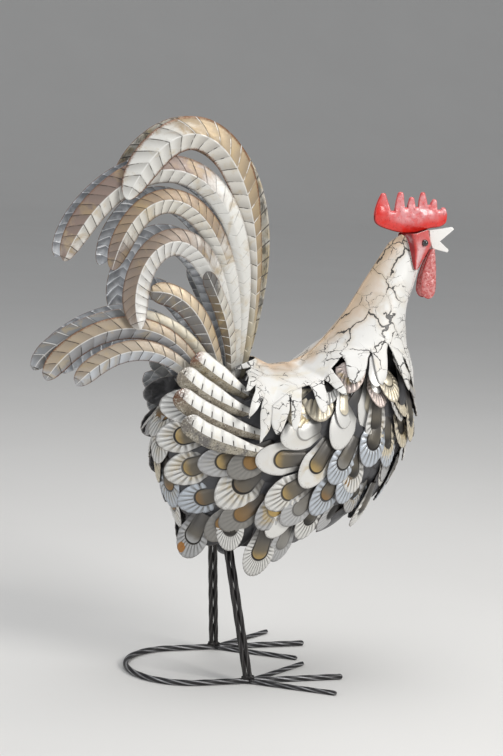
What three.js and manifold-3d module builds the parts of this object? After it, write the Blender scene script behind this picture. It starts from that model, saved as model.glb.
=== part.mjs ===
// Scrap metal rooster sculpture: sheet-steel plumes and feathers on a hollow body, wire legs, bent-rod base.
// Millimetres, +Z up, floor at Z = 0. The bird faces +X. "right" is its right side (-Y), "left" is +Y.
import * as THREE from 'three';
import Module from 'manifold-3d';
import { mergeVertices } from 'three/addons/utils/BufferGeometryUtils.js';

const wasm = await Module();
wasm.setup();

// ---------------------------------------------------------------- driving dimensions
const SHEET = 1.0;            // thickness of every cut sheet
const RUN_RADIUS = 3.35;      // base rod
const RUN_HALF_GAP = 67;      // half the distance between the two runs, and the bend's radius
const RUN_FRONT = 114;        // how far the middle toes reach ahead of the legs
const BEND_CENTRE = -52;      // centre of the U bend, behind the legs
const TOE_RADIUS = 2.75;
const TOE_REACH = 104;        // length of a side toe
const TOE_SPREAD = 34;        // degrees from the middle toe
const TOE_START = 12;         // where a side toe leaves the run, clear of its side
const LEG_ROD_RADIUS = 2.4;
const LEG_ROD_PITCH = 5.6;    // between the two rods of a leg
const LEG_FOOT = [2, 67, 7.8];
const LEG_TOP = [-18, 29, 149.0];
const SHELL_INSET = 16;       // body shell below the feather envelope
const SHELL_FLOOR = 150;      // flat underside that the legs meet
const SHELL_TOP_DROP = 14;    // the shell's back lies this much under the cape
const FEATHER_ROW_TOP = 309;  // no row starts higher than this
const FEATHER_ROW_DROP = 10;  // a row's top edge lies this much deeper than its tips
const FACE = { top: 500, chin: 461, rear: [176, 192], nose: [208, 198], halfWidth: [20, 10], noseHalfWidth: 6 };
const EYE = { x: 202, y: 17, z: 491.3, radius: 3.9 };

// Horizontal sections of the feathered breast: [height, back, front, half width]
const BREAST = [
  [112, -20, 30, 30], [130, -50, 62, 52], [160, -64, 108, 62], [193, -76, 154, 71], [222, -90, 180, 77],
  [262, -99, 196, 80], [290, -98, 202, 79], [312, -88, 192, 72], [330, -62, 160, 58], [342, -22, 118, 40],
  [350, 22, 72, 12],
];
// The same for the neck
const NECK = [
  [320, 52, 199, 72], [350, 62, 197, 64], [363, 78, 193, 56], [377, 95, 188, 46], [398, 111, 186, 37],
  [418, 125, 187, 30], [441, 138, 189, 25], [465, 152, 192, 20], [486, 165, 197, 15], [498, 175, 199, 9],
];

// Tail plumes: ridge from root to tip as one cubic curve. root and tip are [x, y, z]; rise and fall are the
// curve's handles [x, z]; outer and inner are the flange widths at full width; start is the half width at the root.
const PLUMES = [
  { root: [-4, 6, 333], rise: [44, 552], fall: [-75, 696], tip: [-149, 27, 530], outer: 19, inner: 17, start: 5 },
  { root: [-14, 12, 333], rise: [27, 601], fall: [-149, 621], tip: [-214, 22, 462], outer: 16, inner: 14, start: 5.5 },
  { root: [-17, 17, 332], rise: [-5, 537], fall: [-131, 593], tip: [-163, 30, 454], outer: 12, inner: 14.5, start: 5.5 },
  { root: [-21, 22, 331], rise: [-40, 574], fall: [-166, 482], tip: [-133, 44, 392], outer: 14, inner: 15.5, start: 5.5 },
  { root: [-21, 26, 333], rise: [-27, 376], fall: [-22, 389], tip: [-59, 34, 455], outer: 9, inner: 9, start: 4.5 },
  { root: [-33, 30, 330], rise: [-62, 451], fall: [-116, 428], tip: [-120, 28, 432], outer: 11, inner: 14, start: 5 },
  { root: [-38, 33.5, 328], rise: [-96, 465], fall: [-239, 375], tip: [-243, 27, 345], outer: 11.5, inner: 14, start: 5 },
  { root: [-52, 37, 326], rise: [-96, 425], fall: [-195, 400], tip: [-232, 37, 336], outer: 13, inner: 12, start: 7 },
  { root: [-56, 41, 319], rise: [-81, 361], fall: [-138, 400], tip: [-201, 46, 332], outer: 12, inner: 11, start: 6.5 },
];
// The left foremost plume was bent a little further forward by hand
const LEFT_PLUME_1_RISE = [64, 548];

// Wing feathers, the same way
const WING_FEATHERS = [
  { root: [-8, 57, 321], rise: [-30, 333], fall: [-54, 347], tip: [-74, 53, 365], outer: 13, inner: 12, start: 9 },
  { root: [-8, 70, 303], rise: [-39, 314], fall: [-68, 326], tip: [-90, 60, 350], outer: 13.5, inner: 12, start: 9 },
  { root: [-2, 77.5, 282], rise: [-37, 292], fall: [-71, 303], tip: [-96, 67, 328], outer: 13, inner: 12, start: 9 },
  { root: [-2, 84.5, 264], rise: [-32, 272], fall: [-67, 277], tip: [-87, 74, 301], outer: 13, inner: 12, start: 9 },
];

// Rows of body feathers: height of the tips at the rump, at the flank and at the breast, feathers per side
const FEATHER_ROWS = [
  { rump: 300, flank: 262, breast: 300, length: 46, count: 8 },
  { rump: 262, flank: 228, breast: 260, length: 44, count: 7 },
  { rump: 225, flank: 196, breast: 222, length: 44, count: 6 },
  { rump: 192, flank: 164, breast: 190, length: 44, count: 6 },
  { rump: 150, flank: 124, breast: 156, length: 42, count: 5 },
];

// Short feathers of the upper breast, under the cape's fringe: they run round the front as far as the flank
const BREAST_FEATHERS = { tip: 320, top: 352, topDrop: 11, tipDrop: 6.5, count: 5, wrap: 0.62 };

// Back line of the cape from the head to the tail [x, z], and its front edge down the breast
const CAPE_BACK = [[180, 499], [165, 489], [137, 444], [110, 399], [77, 363], [48, 349], [31, 348], [12, 357]];
const CAPE_FRONT = [[191, 462], [188, 438], [186, 416], [185, 392], [187, 377]];
const CAPE_ROWS = 5;
// Fringe of the cape from the breast to the tail: each finger's tip, then the notch behind it [x, z, x, z]
const CAPE_FINGERS = [
  [199, 346, 186, 368], [200, 322, 170, 369], [178, 329, 154, 375], [138, 338, 129, 372], [106, 339, 98, 366],
  [95, 328, 75, 341], [67, 309, 54, 334], [32, 290, 30, 330], [13, 296, 9, 316], [-3, 276, 2, 329],
  [-19, 303, -2, 338], [-20, 334, 0, 346], [-20, 349, -8, 354],
];

// Comb: tips and valleys from back to front [x, z], and the belly under them
const COMB_TIPS = [[151, 545], [174, 547], [186.5, 542], [200.5, 548.5], [215.6, 541], [228, 531]];
const COMB_VALLEYS = [[165, 526], [181, 529], [194, 531], [209, 533.5], [221, 527]];
const COMB_TIP_HALF = 4.2;

// ---------------------------------------------------------------- materials
const steel = (color, metalness, roughness) => new THREE.MeshStandardMaterial({ color, metalness, roughness });
const MATERIALS = {
  iron: steel(0x25262a, 0.8, 0.45),
  shell: steel(0x2b2a28, 0.6, 0.6),
  cape: steel(0xe4e1d8, 0.1, 0.5),
  plume: steel(0xb9b3a6, 0.4, 0.45),
  wing: steel(0xcfcac0, 0.3, 0.45),
  feather: steel(0xc3c2bd, 0.4, 0.4),
  red: steel(0xc4292a, 0.1, 0.3),
  beak: steel(0xe9e8e2, 0.1, 0.4),
  eye: steel(0x101010, 0.1, 0.1),
};

// ---------------------------------------------------------------- shared helpers
const lerp = THREE.MathUtils.lerp;

// Value of a table of [key, a, b, ...] rows at a key between its rows
function tableAt(table, key) {
  const last = table.length - 1;
  let row = 0;
  while (row < last - 1 && key > table[row + 1][0]) row += 1;
  const share = THREE.MathUtils.clamp((key - table[row][0]) / (table[row + 1][0] - table[row][0]), 0, 1);
  return table[row].map((value, column) => lerp(value, table[row + 1][column], share));
}

// Half width of a stack of elliptical sections at a point of the side view, or 0 outside it
function sectionHalfWidth(table, x, z) {
  if (z < table[0][0] || z > table[table.length - 1][0]) return 0;
  const [, back, front, halfWidth] = tableAt(table, z);
  const along = (2 * x - back - front) / (front - back);
  return Math.abs(along) < 1 ? halfWidth * Math.sqrt(1 - along * along) : 0;
}

const envelopeHalfWidth = (x, z) => Math.max(sectionHalfWidth(BREAST, x, z), sectionHalfWidth(NECK, x, z));

// Half the cape's thickness at a point, straight across the bird and greater where the sheet is steep
function capeHalfThickness(point) {
  const reach = 2;
  const slope = (dx, dz) => (
    envelopeHalfWidth(point.x + dx, point.z + dz) - envelopeHalfWidth(point.x - dx, point.z - dz)
  ) / (2 * reach);
  const steep = Math.min(2.2, Math.hypot(1, slope(reach, 0), slope(0, reach)));
  return new THREE.Vector3(0, -Math.min(SHEET * steep, 2 * (point.y - 0.2)) / 2, 0);
}

// A closed body from rings of points, each ring counter-clockwise seen from the far end, capped flat at both ends
function loft(rings) {
  const sides = rings[0].length;
  const positions = rings.flat().flatMap((p) => p.toArray());
  const index = [];
  for (let ring = 0; ring < rings.length - 1; ring += 1) {
    for (let side = 0; side < sides; side += 1) {
      const a = ring * sides + side;
      const b = ring * sides + ((side + 1) % sides);
      index.push(a, b, b + sides, a, b + sides, a + sides);
    }
  }
  const top = (rings.length - 1) * sides;
  for (let side = 1; side < sides - 1; side += 1) {
    index.push(0, side + 1, side, top, top + side, top + side + 1);
  }
  const geometry = new THREE.BufferGeometry();
  geometry.setAttribute('position', new THREE.Float32BufferAttribute(positions, 3));
  geometry.setIndex(index);
  return geometry;
}

// A sheet of even thickness over the surface place(u, v), with u in columns steps and v in rows steps.
// Its front face looks along du x dv; halfThickness(point) gives that face's offset in some other direction.
// Each cell is split along its shorter diagonal.
function sheet(columns, rows, place, halfThickness = null) {
  const step = 1e-3;
  const surfaceNormal = (u, v) => {
    const across = place(Math.min(1, u + step), v).sub(place(Math.max(0, u - step), v));
    const along = place(u, Math.min(1, v + step)).sub(place(u, Math.max(0, v - step)));
    return across.cross(along);
  };
  const front = [];
  const back = [];
  for (let row = 0; row <= rows; row += 1) {
    for (let column = 0; column <= columns; column += 1) {
      const [u, v] = [column / columns, row / rows];
      const point = place(u, v);
      const offset = halfThickness?.(point) ?? surfaceNormal(u, v).normalize().multiplyScalar(SHEET / 2);
      front.push(point.clone().add(offset));
      back.push(point.clone().sub(offset));
    }
  }
  const wide = columns + 1;
  const other = front.length;
  const index = [];
  for (let row = 0; row < rows; row += 1) {
    for (let column = 0; column < columns; column += 1) {
      const a = row * wide + column;
      const [b, c, d] = [a + 1, a + wide + 1, a + wide];
      const halves = front[a].distanceTo(front[c]) < front[b].distanceTo(front[d]) + 1e-6
        ? [a, b, c, a, c, d]
        : [b, c, d, b, d, a];
      index.push(...halves, ...halves.map((corner) => other + corner).reverse());
    }
  }
  const rim = [];
  for (let column = 0; column < columns; column += 1) rim.push(column);
  for (let row = 0; row < rows; row += 1) rim.push(row * wide + columns);
  for (let column = columns; column > 0; column -= 1) rim.push(rows * wide + column);
  for (let row = rows; row > 0; row -= 1) rim.push(row * wide);
  rim.forEach((a, i) => {
    const b = rim[(i + 1) % rim.length];
    index.push(a, other + a, other + b, a, other + b, b);
  });
  const geometry = new THREE.BufferGeometry();
  const positions = [...front, ...back].flatMap((p) => p.toArray());
  geometry.setAttribute('position', new THREE.Float32BufferAttribute(positions, 3));
  geometry.setIndex(index);
  return geometry;
}

// The same geometry on the bird's other side, with its faces still outward
function mirrored(geometry) {
  const copy = geometry.clone().scale(1, -1, 1);
  const index = copy.index.array;
  for (let i = 0; i < index.length; i += 3) [index[i + 1], index[i + 2]] = [index[i + 2], index[i + 1]];
  return copy;
}

function toManifold(geometry) {
  const merged = geometry.clone();
  merged.deleteAttribute('normal');
  merged.deleteAttribute('uv');
  const welded = mergeVertices(merged, 1e-4);
  return new wasm.Manifold(new wasm.Mesh({
    numProp: 3,
    vertProperties: new Float32Array(welded.attributes.position.array),
    triVerts: new Uint32Array(welded.index.array),
  }));
}

function fromManifold(solid) {
  const mesh = solid.getMesh();
  const geometry = new THREE.BufferGeometry();
  geometry.setAttribute('position', new THREE.BufferAttribute(new Float32Array(mesh.vertProperties), 3));
  geometry.setIndex([...mesh.triVerts]);
  return geometry;
}

const root = new THREE.Group();

function add(name, geometry, material) {
  geometry.computeVertexNormals();
  const mesh = new THREE.Mesh(geometry, material.clone());
  mesh.name = name;
  root.add(mesh);
  return mesh;
}

// Adds a piece made for the bird's left side (+Y) and its mirror image on the right
function addPair(name, geometry, material) {
  add(`${name}_left`, geometry, material);
  add(`${name}_right`, mirrored(geometry), material);
}

// ---------------------------------------------------------------- base, toes and legs
// Octagonal rod along a path, with a flat underside
function rod(path, radius, steps) {
  const corner = radius / Math.cos(Math.PI / 8);
  const section = new THREE.Shape();
  for (let side = 0; side < 8; side += 1) {
    const angle = (side + 0.5) * (Math.PI / 4);
    const point = [corner * Math.cos(angle), corner * Math.sin(angle)];
    if (side === 0) section.moveTo(...point);
    else section.lineTo(...point);
  }
  section.closePath();
  const geometry = new THREE.ExtrudeGeometry(section, { steps, extrudePath: path, bevelEnabled: false });
  geometry.deleteAttribute('normal');
  geometry.deleteAttribute('uv');
  return mergeVertices(geometry, 1e-4);
}

// Plan of the base: up one run, round the bend, back along the other
class BasePath extends THREE.Curve {
  getPoint(t, target = new THREE.Vector3()) {
    const run = RUN_FRONT - BEND_CENTRE;
    const bend = Math.PI * RUN_HALF_GAP;
    const along = t * (2 * run + bend);
    if (along < run) return target.set(RUN_FRONT - along, RUN_HALF_GAP, RUN_RADIUS);
    if (along > run + bend) return target.set(BEND_CENTRE + along - run - bend, -RUN_HALF_GAP, RUN_RADIUS);
    const angle = (along - run) / RUN_HALF_GAP;
    const x = BEND_CENTRE - RUN_HALF_GAP * Math.sin(angle);
    return target.set(x, RUN_HALF_GAP * Math.cos(angle), RUN_RADIUS);
  }
}

function addBase() {
  add('base_rod', rod(new BasePath(), RUN_RADIUS, 32), MATERIALS.iron);
}

function addSideToes() {
  for (const [name, outward] of [['outer', 1], ['inner', -1]]) {
    const angle = THREE.MathUtils.degToRad(TOE_SPREAD);
    const direction = new THREE.Vector3(Math.cos(angle), outward * Math.sin(angle), 0);
    const heel = new THREE.Vector3(0, RUN_HALF_GAP, TOE_RADIUS);
    const start = heel.clone().addScaledVector(direction, TOE_START);
    const end = heel.clone().addScaledVector(direction, TOE_REACH);
    addPair(`toe_${name}`, rod(new THREE.LineCurve3(start, end), TOE_RADIUS, 1), MATERIALS.iron);
  }
}

function addLegs() {
  for (const [name, side] of [['front', 0.5], ['rear', -0.5]]) {
    const shift = new THREE.Vector3(side * LEG_ROD_PITCH, 0, 0);
    const foot = new THREE.Vector3(...LEG_FOOT).add(shift);
    const top = new THREE.Vector3(...LEG_TOP).add(shift);
    addPair(`leg_${name}_rod`, rod(new THREE.LineCurve3(foot, top), LEG_ROD_RADIUS, 1), MATERIALS.iron);
  }
}

// ---------------------------------------------------------------- body shell
// Ellipse of a section table at one height, shrunk by the shell's inset
function shellRing(table, z, sides, level) {
  const [, back, front, halfWidth] = tableAt(table, z);
  const centre = (back + front) / 2;
  const inset = SHELL_INSET * Math.min(1, halfWidth / 40);
  const half = Math.max(5, (front - back) / 2 - inset);
  const wide = Math.max(4, halfWidth - inset);
  return Array.from({ length: sides }, (_, i) => {
    const angle = (2 * Math.PI * i) / sides;
    return new THREE.Vector3(centre + half * Math.cos(angle), wide * Math.sin(angle), level);
  });
}

function addBodyShell() {
  const breast = [shellRing(BREAST, 150, 18, SHELL_FLOOR)];
  for (const z of [165, 193, 222, 262, 285]) breast.push(shellRing(BREAST, z, 18, z));
  for (const z of [312, 330, 342]) breast.push(shellRing(BREAST, z, 18, z - SHELL_TOP_DROP));
  const neck = [326, 350, 366, 380, 398, 418, 441, 465, 482].map((z) => shellRing(NECK, z, 14, z - 4));
  const body = toManifold(loft(breast)).add(toManifold(loft(neck)));
  add('body_shell', fromManifold(body), MATERIALS.shell);
}

// ---------------------------------------------------------------- ridged blades: plumes and wing feathers
// Width along a blade: grows from the root to full at 60 %, then rounds off to the tip
function bladeWidth(v, start, full) {
  const grown = lerp(start, full, THREE.MathUtils.smoothstep(v, 0.05, 0.6));
  const past = Math.max(0, (v - 0.86) / 0.14);
  return grown * Math.max(0.12, Math.sqrt(Math.max(0, 1 - past ** 2.2)));
}

// V-folded blade: the ridge stands out sideways, both flanges fall back towards the bird's middle plane
function blade(spec, steps, rise = spec.rise) {
  const [rootX, rootY, rootZ] = spec.root;
  const [tipX, tipY, tipZ] = spec.tip;
  const ridge = new THREE.CubicBezierCurve3(
    new THREE.Vector3(rootX, rootY, rootZ),
    new THREE.Vector3(rise[0], lerp(rootY, tipY, 1 / 3), rise[1]),
    new THREE.Vector3(spec.fall[0], lerp(rootY, tipY, 2 / 3), spec.fall[1]),
    new THREE.Vector3(tipX, tipY, tipZ),
  );
  const place = (u, v) => {
    const at = ridge.getPointAt(v);
    const tangent = ridge.getTangentAt(v);
    const outward = new THREE.Vector3(tangent.z, 0, -tangent.x).normalize();
    const side = 1 - 2 * u;
    const width = bladeWidth(v, spec.start, side > 0 ? spec.outer : spec.inner);
    at.addScaledVector(outward, side * width);
    at.y -= 0.28 * Math.abs(side) * width;
    return at;
  };
  return sheet(2, steps, place);
}

function addTailPlumes() {
  PLUMES.forEach((spec, i) => {
    const name = `tail_plume_${i + 1}`;
    const steps = i === 4 ? 6 : 12;
    add(`${name}_left`, blade(spec, steps, i === 0 ? LEFT_PLUME_1_RISE : spec.rise), MATERIALS.plume);
    add(`${name}_right`, mirrored(blade(spec, steps)), MATERIALS.plume);
  });
}

function addWingFeathers() {
  WING_FEATHERS.forEach((spec, i) => addPair(`wing_feather_${i + 1}`, blade(spec, 7), MATERIALS.wing));
}

// ---------------------------------------------------------------- body feathers
// One side's row of overlapping round-ended feathers, as a band with a scalloped lower edge
function featherRow(spec) {
  const place = (u, v) => {
    const turn = Math.PI * lerp(0.008, 0.992, u);
    const along = Math.cos(turn);
    const end = along > 0 ? spec.breast : spec.rump;
    const tip = lerp(spec.flank, end, Math.abs(along) ** (along > 0 ? 1.7 : 2.5));
    const across = 2 * ((u * spec.count) % 1) - 1;
    const scallop = 0.3 * spec.length * (1 - Math.sqrt(Math.max(0, 1 - across * across * 0.96)));
    const top = Math.min(tip + spec.length, FEATHER_ROW_TOP);
    const z = lerp(top, tip + scallop, v);
    const [, back, front, halfWidth] = tableAt(BREAST, Math.max(z, 136));
    const depth = lerp(FEATHER_ROW_DROP, 0, v);
    const x = (back + front) / 2 + ((front - back) / 2 - depth) * along;
    return new THREE.Vector3(x, (halfWidth - depth) * Math.sin(turn), z);
  };
  return sheet(spec.count * 4, 2, place);
}

function breastFeathers() {
  const { tip, top, topDrop, tipDrop, count, wrap } = BREAST_FEATHERS;
  const place = (u, v) => {
    const turn = Math.PI * lerp(0.008, wrap, u);
    const across = 2 * ((u * count) % 1) - 1;
    const z = lerp(top, tip + 11 * (1 - Math.sqrt(1 - across * across * 0.96)), v);
    const [, back, front, halfWidth] = tableAt(NECK, z);
    const depth = lerp(topDrop, tipDrop, v);
    const x = (back + front) / 2 + ((front - back) / 2 - depth) * Math.cos(turn);
    return new THREE.Vector3(x, (halfWidth - depth) * Math.sin(turn), z);
  };
  return sheet(count * 4, 2, place);
}

function addFeatherRows() {
  addPair('breast_feathers', breastFeathers(), MATERIALS.feather);
  FEATHER_ROWS.forEach((spec, i) => addPair(`body_feathers_row_${i + 1}`, featherRow(spec), MATERIALS.feather));
}

// ---------------------------------------------------------------- cape
function polyline(points) {
  const path = new THREE.CurvePath();
  for (let i = 1; i < points.length; i += 1) {
    path.add(new THREE.LineCurve(new THREE.Vector2(...points[i - 1]), new THREE.Vector2(...points[i])));
  }
  return path;
}

function capeSide() {
  const edge = [...CAPE_FRONT];
  for (const [tipX, tipZ, notchX, notchZ] of CAPE_FINGERS) edge.push([tipX, tipZ], [notchX, notchZ]);
  const columns = edge.length - 1;
  const back = polyline(CAPE_BACK);
  const isTip = (column) => column >= CAPE_FRONT.length && (column - CAPE_FRONT.length) % 2 === 0;
  const fingerRoot = (column) => edge[column - 1].map((value, axis) => (value + edge[column + 1][axis]) / 2);
  // The last row of the sheet is the fringe; the rows above it end at the roots of the fingers
  const lastRow = (CAPE_ROWS - 1) / CAPE_ROWS;
  const place = (u, v) => {
    const column = Math.round(u * columns);
    const ridge = back.getPointAt(1 - (1 - u) ** 1.8);
    const inFringe = v > lastRow;
    const [x, z] = isTip(column) && !inFringe ? fingerRoot(column) : edge[column];
    const share = inFringe ? 1 : 0.93 * (v / lastRow) ** 1.5;
    const at = [lerp(ridge.x, x, share), lerp(ridge.y, z, share)];
    const overWing = 11 * share * THREE.MathUtils.smoothstep(u, 0.3, 0.6);
    const overTail = 17 * share ** 0.5 * THREE.MathUtils.smoothstep(u, 0.8, 0.95);
    const halfWidth = envelopeHalfWidth(...at) + 3 * share + overWing + overTail;
    return new THREE.Vector3(at[0], 1.2 + halfWidth * THREE.MathUtils.smoothstep(share, -0.001, 0.15), at[1]);
  };
  return sheet(columns, CAPE_ROWS, place, capeHalfThickness);
}

function addCape() {
  addPair('cape', capeSide(), MATERIALS.cape);
}

// ---------------------------------------------------------------- head
// Flat cut plate in the side view, its inner face at the given distance from the middle plane, leaning outwards
function plate(shape, inner, lean, hingeZ, curveSegments = 3) {
  const geometry = new THREE.ExtrudeGeometry(shape, { depth: SHEET, bevelEnabled: false, curveSegments });
  geometry.deleteAttribute('normal');
  geometry.deleteAttribute('uv');
  geometry.rotateX(Math.PI / 2);
  geometry.translate(0, inner + SHEET, 0);
  geometry.translate(0, 0, -hingeZ);
  geometry.rotateX(-lean);
  geometry.translate(0, 0, hingeZ);
  return mergeVertices(geometry, 1e-4);
}

function combShape() {
  const shape = new THREE.Shape();
  shape.moveTo(146, 515);
  shape.quadraticCurveTo(142, 530, COMB_TIPS[0][0] - COMB_TIP_HALF, COMB_TIPS[0][1] - COMB_TIP_HALF);
  COMB_TIPS.forEach(([x, z], i) => {
    if (i > 0) shape.lineTo(x - COMB_TIP_HALF, z - COMB_TIP_HALF);
    shape.quadraticCurveTo(x, z + COMB_TIP_HALF, x + COMB_TIP_HALF, z - COMB_TIP_HALF);
    if (i < COMB_VALLEYS.length) {
      const [valleyX, valleyZ] = COMB_VALLEYS[i];
      shape.quadraticCurveTo(valleyX - 3, valleyZ, valleyX, valleyZ);
      shape.lineTo(valleyX + 1.5, valleyZ + 0.5);
    }
  });
  shape.quadraticCurveTo(231, 514, 215, 509);
  shape.quadraticCurveTo(200, 503, 184, 503.5);
  shape.quadraticCurveTo(156, 502, 146, 515);
  return shape;
}

function beakShape() {
  const shape = new THREE.Shape();
  shape.moveTo(213.5, 504);
  shape.lineTo(241, 508.5);
  shape.lineTo(242.5, 506);
  shape.lineTo(226.5, 492.3);
  shape.lineTo(237.5, 482.5);
  shape.lineTo(236.5, 480.2);
  shape.lineTo(218.8, 484);
  return shape;
}

function wattleShape() {
  const shape = new THREE.Shape();
  shape.moveTo(216.5, 481);
  shape.bezierCurveTo(221, 474, 223, 452, 221.5, 438);
  shape.bezierCurveTo(219, 423, 201, 422, 198.5, 436);
  shape.bezierCurveTo(197.5, 455, 205, 470, 213, 480);
  return shape;
}

// Folded plate round the front of the head: wide and flat on the sides, narrowing to a point below
function face() {
  const { top, chin, rear, nose, halfWidth, noseHalfWidth } = FACE;
  const place = (u, v) => {
    const side = 2 * u - 1;
    const roundNose = Math.min(1, Math.abs(side) / 0.25);
    const alongCheek = Math.max(0, (Math.abs(side) - 0.25) / 0.75);
    const front = lerp(nose[0], nose[1], Math.max(0, (v - 0.35) / 0.65));
    const back = lerp(rear[0], rear[1], v ** 0.6);
    const wide = lerp(halfWidth[0], halfWidth[1], v ** 1.4);
    const x = lerp(front, back, alongCheek) + 3 * (1 - roundNose);
    const y = lerp(noseHalfWidth * roundNose, wide, Math.min(1, 1.6 * alongCheek));
    return new THREE.Vector3(x, y * Math.sign(side), lerp(top, chin, v) + 3 * (1 - alongCheek) * (1 - v));
  };
  return sheet(12, 3, place);
}

function addHead() {
  add('face', face(), MATERIALS.red);
  addPair('comb', plate(combShape(), 0.5, 0.03, 505), MATERIALS.red);
  addPair('beak', plate(beakShape(), 0.4, 0, 500), MATERIALS.beak);
  addPair('wattle', plate(wattleShape(), 1.5, -0.12, 480), MATERIALS.red);
  const eye = new THREE.SphereGeometry(EYE.radius, 10, 7);
  eye.deleteAttribute('normal');
  eye.deleteAttribute('uv');
  eye.translate(EYE.x, EYE.y, EYE.z);
  addPair('eye', mergeVertices(eye, 1e-4), MATERIALS.eye);
}

// ---------------------------------------------------------------- assembly
addBase();
addSideToes();
addLegs();
addBodyShell();
addTailPlumes();
addWingFeathers();
addFeatherRows();
addCape();
addHead();

// The origin is the middle of the whole bird's footprint box, on the floor
const box = new THREE.Box3().setFromObject(root);
root.position.set(-(box.min.x + box.max.x) / 2, -(box.min.y + box.max.y) / 2, -box.min.z);

export default root;
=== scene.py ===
"""Looks of the scrap metal rooster sculpture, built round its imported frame.

The bird faces +X and stands on Z = 0; its right side is -Y. Lengths are millimetres unless a name says
otherwise, and MM turns them into Blender's metres.
"""

import logging
import math
import random
from dataclasses import dataclass, field, replace
from enum import Enum
from typing import Callable, Optional

import bmesh
import bpy
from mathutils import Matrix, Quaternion, Vector, noise


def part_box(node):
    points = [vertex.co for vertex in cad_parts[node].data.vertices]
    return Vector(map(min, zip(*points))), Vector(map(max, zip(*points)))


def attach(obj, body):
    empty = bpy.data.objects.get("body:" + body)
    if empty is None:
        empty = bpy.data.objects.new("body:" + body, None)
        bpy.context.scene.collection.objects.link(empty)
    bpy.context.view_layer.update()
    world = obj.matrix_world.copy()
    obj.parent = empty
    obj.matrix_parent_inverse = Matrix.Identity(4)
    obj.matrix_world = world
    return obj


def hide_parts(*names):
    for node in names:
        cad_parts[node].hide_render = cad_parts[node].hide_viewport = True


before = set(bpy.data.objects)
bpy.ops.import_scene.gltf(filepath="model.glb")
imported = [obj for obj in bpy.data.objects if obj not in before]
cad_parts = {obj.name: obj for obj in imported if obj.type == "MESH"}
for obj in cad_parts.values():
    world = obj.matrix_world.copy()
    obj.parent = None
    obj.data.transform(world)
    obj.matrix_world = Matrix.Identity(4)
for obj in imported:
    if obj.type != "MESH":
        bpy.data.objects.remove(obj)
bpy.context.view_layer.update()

MM = 0.001
SHEET = 1.0  # thickness of a cut sheet, where nothing else is said
CREASE = 24.0  # folds sharper than this many degrees stay crisp
RUN_FRONT = 114.0  # the middle toes reach this far ahead of the legs
DATUM_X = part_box("base_rod")[1].x / MM - RUN_FRONT  # the legs' plane, in the frame
SEED = 11
EYE_EDGE = 0.3  # share of the way out to the rim at which a stamped eye ends

Colour = tuple[float, float, float]
Place = Callable[[float, float], Vector]
Pattern = Callable[[float, float], tuple[float, float]]
Number = Callable[[float, float], float]
Path = Callable[[float], Vector]

log = logging.getLogger("rooster")


class Side(Enum):
    """The two sides of the bird, and the sign of Y on each."""

    LEFT = 1
    RIGHT = -1

    @property
    def label(self) -> str:
        """The side's name as the CAD nodes write it."""
        return self.name.lower()

    def mirror(self, vector: Vector) -> Vector:
        """A left-side vector brought to this side."""
        return Vector((vector.x, self.value * vector.y, vector.z))


# ---------------------------------------------------------------- numbers and curves
def lerp(a: float, b: float, share: float) -> float:
    """Value a given share of the way from a to b."""
    return a + (b - a) * share


def smooth(value: float, low: float, high: float) -> float:
    """Soft step from 0 at low to 1 at high."""
    share = min(1.0, max(0.0, (value - low) / (high - low)))
    return share * share * (3 - 2 * share)


def frame_point(x: float, y: float, z: float) -> Vector:
    """Point of the frame, in metres, from millimetres measured at the legs' plane."""
    return Vector(((x + DATUM_X) * MM, y * MM, z * MM))


def along_polyline(points: tuple[tuple[float, float], ...], share: float) -> tuple[float, float]:
    """Point at a share of a polyline's length.

    Args:
        points: corners of the line in the side view.
        share: 0 at the first corner, 1 at the last.

    Returns:
        The point's two coordinates.
    """
    lengths = [math.dist(a, b) for a, b in zip(points, points[1:])]
    left = share * sum(lengths)
    for (start, end), length in zip(zip(points, points[1:]), lengths):
        if left <= length:
            return lerp(start[0], end[0], left / length), lerp(start[1], end[1], left / length)
        left -= length
    return points[-1]


@dataclass(frozen=True)
class Bezier:
    """Cubic curve in space, followed by arc length."""

    points: tuple[Vector, Vector, Vector, Vector]
    samples: int = 200

    def at(self, t: float) -> Vector:
        """Point at the curve's own parameter."""
        a, b, c, d = self.points
        s = 1 - t
        return a * s**3 + b * (3 * s * s * t) + c * (3 * s * t * t) + d * t**3

    def tangent(self, t: float) -> Vector:
        """Unit direction at the curve's own parameter."""
        step = 1e-3
        return (self.at(min(1.0, t + step)) - self.at(max(0.0, t - step))).normalized()

    def lengths(self) -> list[float]:
        """Arc length from the start to each of the evenly spaced samples."""
        marks, total, last = [0.0], 0.0, self.at(0)
        for i in range(1, self.samples + 1):
            here = self.at(i / self.samples)
            total += (here - last).length
            marks.append(total)
            last = here
        return marks


def parameter_at(marks: list[float], length: float) -> float:
    """Curve parameter at an arc length, from the curve's table of lengths."""
    low, high = 0, len(marks) - 1
    while high - low > 1:
        middle = (low + high) // 2
        if marks[middle] <= length:
            low = middle
        else:
            high = middle
    share = (length - marks[low]) / max(1e-9, marks[high] - marks[low])
    return (low + min(1.0, max(0.0, share))) / (len(marks) - 1)


# ---------------------------------------------------------------- body form
@dataclass(frozen=True)
class Section:
    """Horizontal ellipse through the body at one height."""

    z: float
    back: float
    front: float
    half: float


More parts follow.
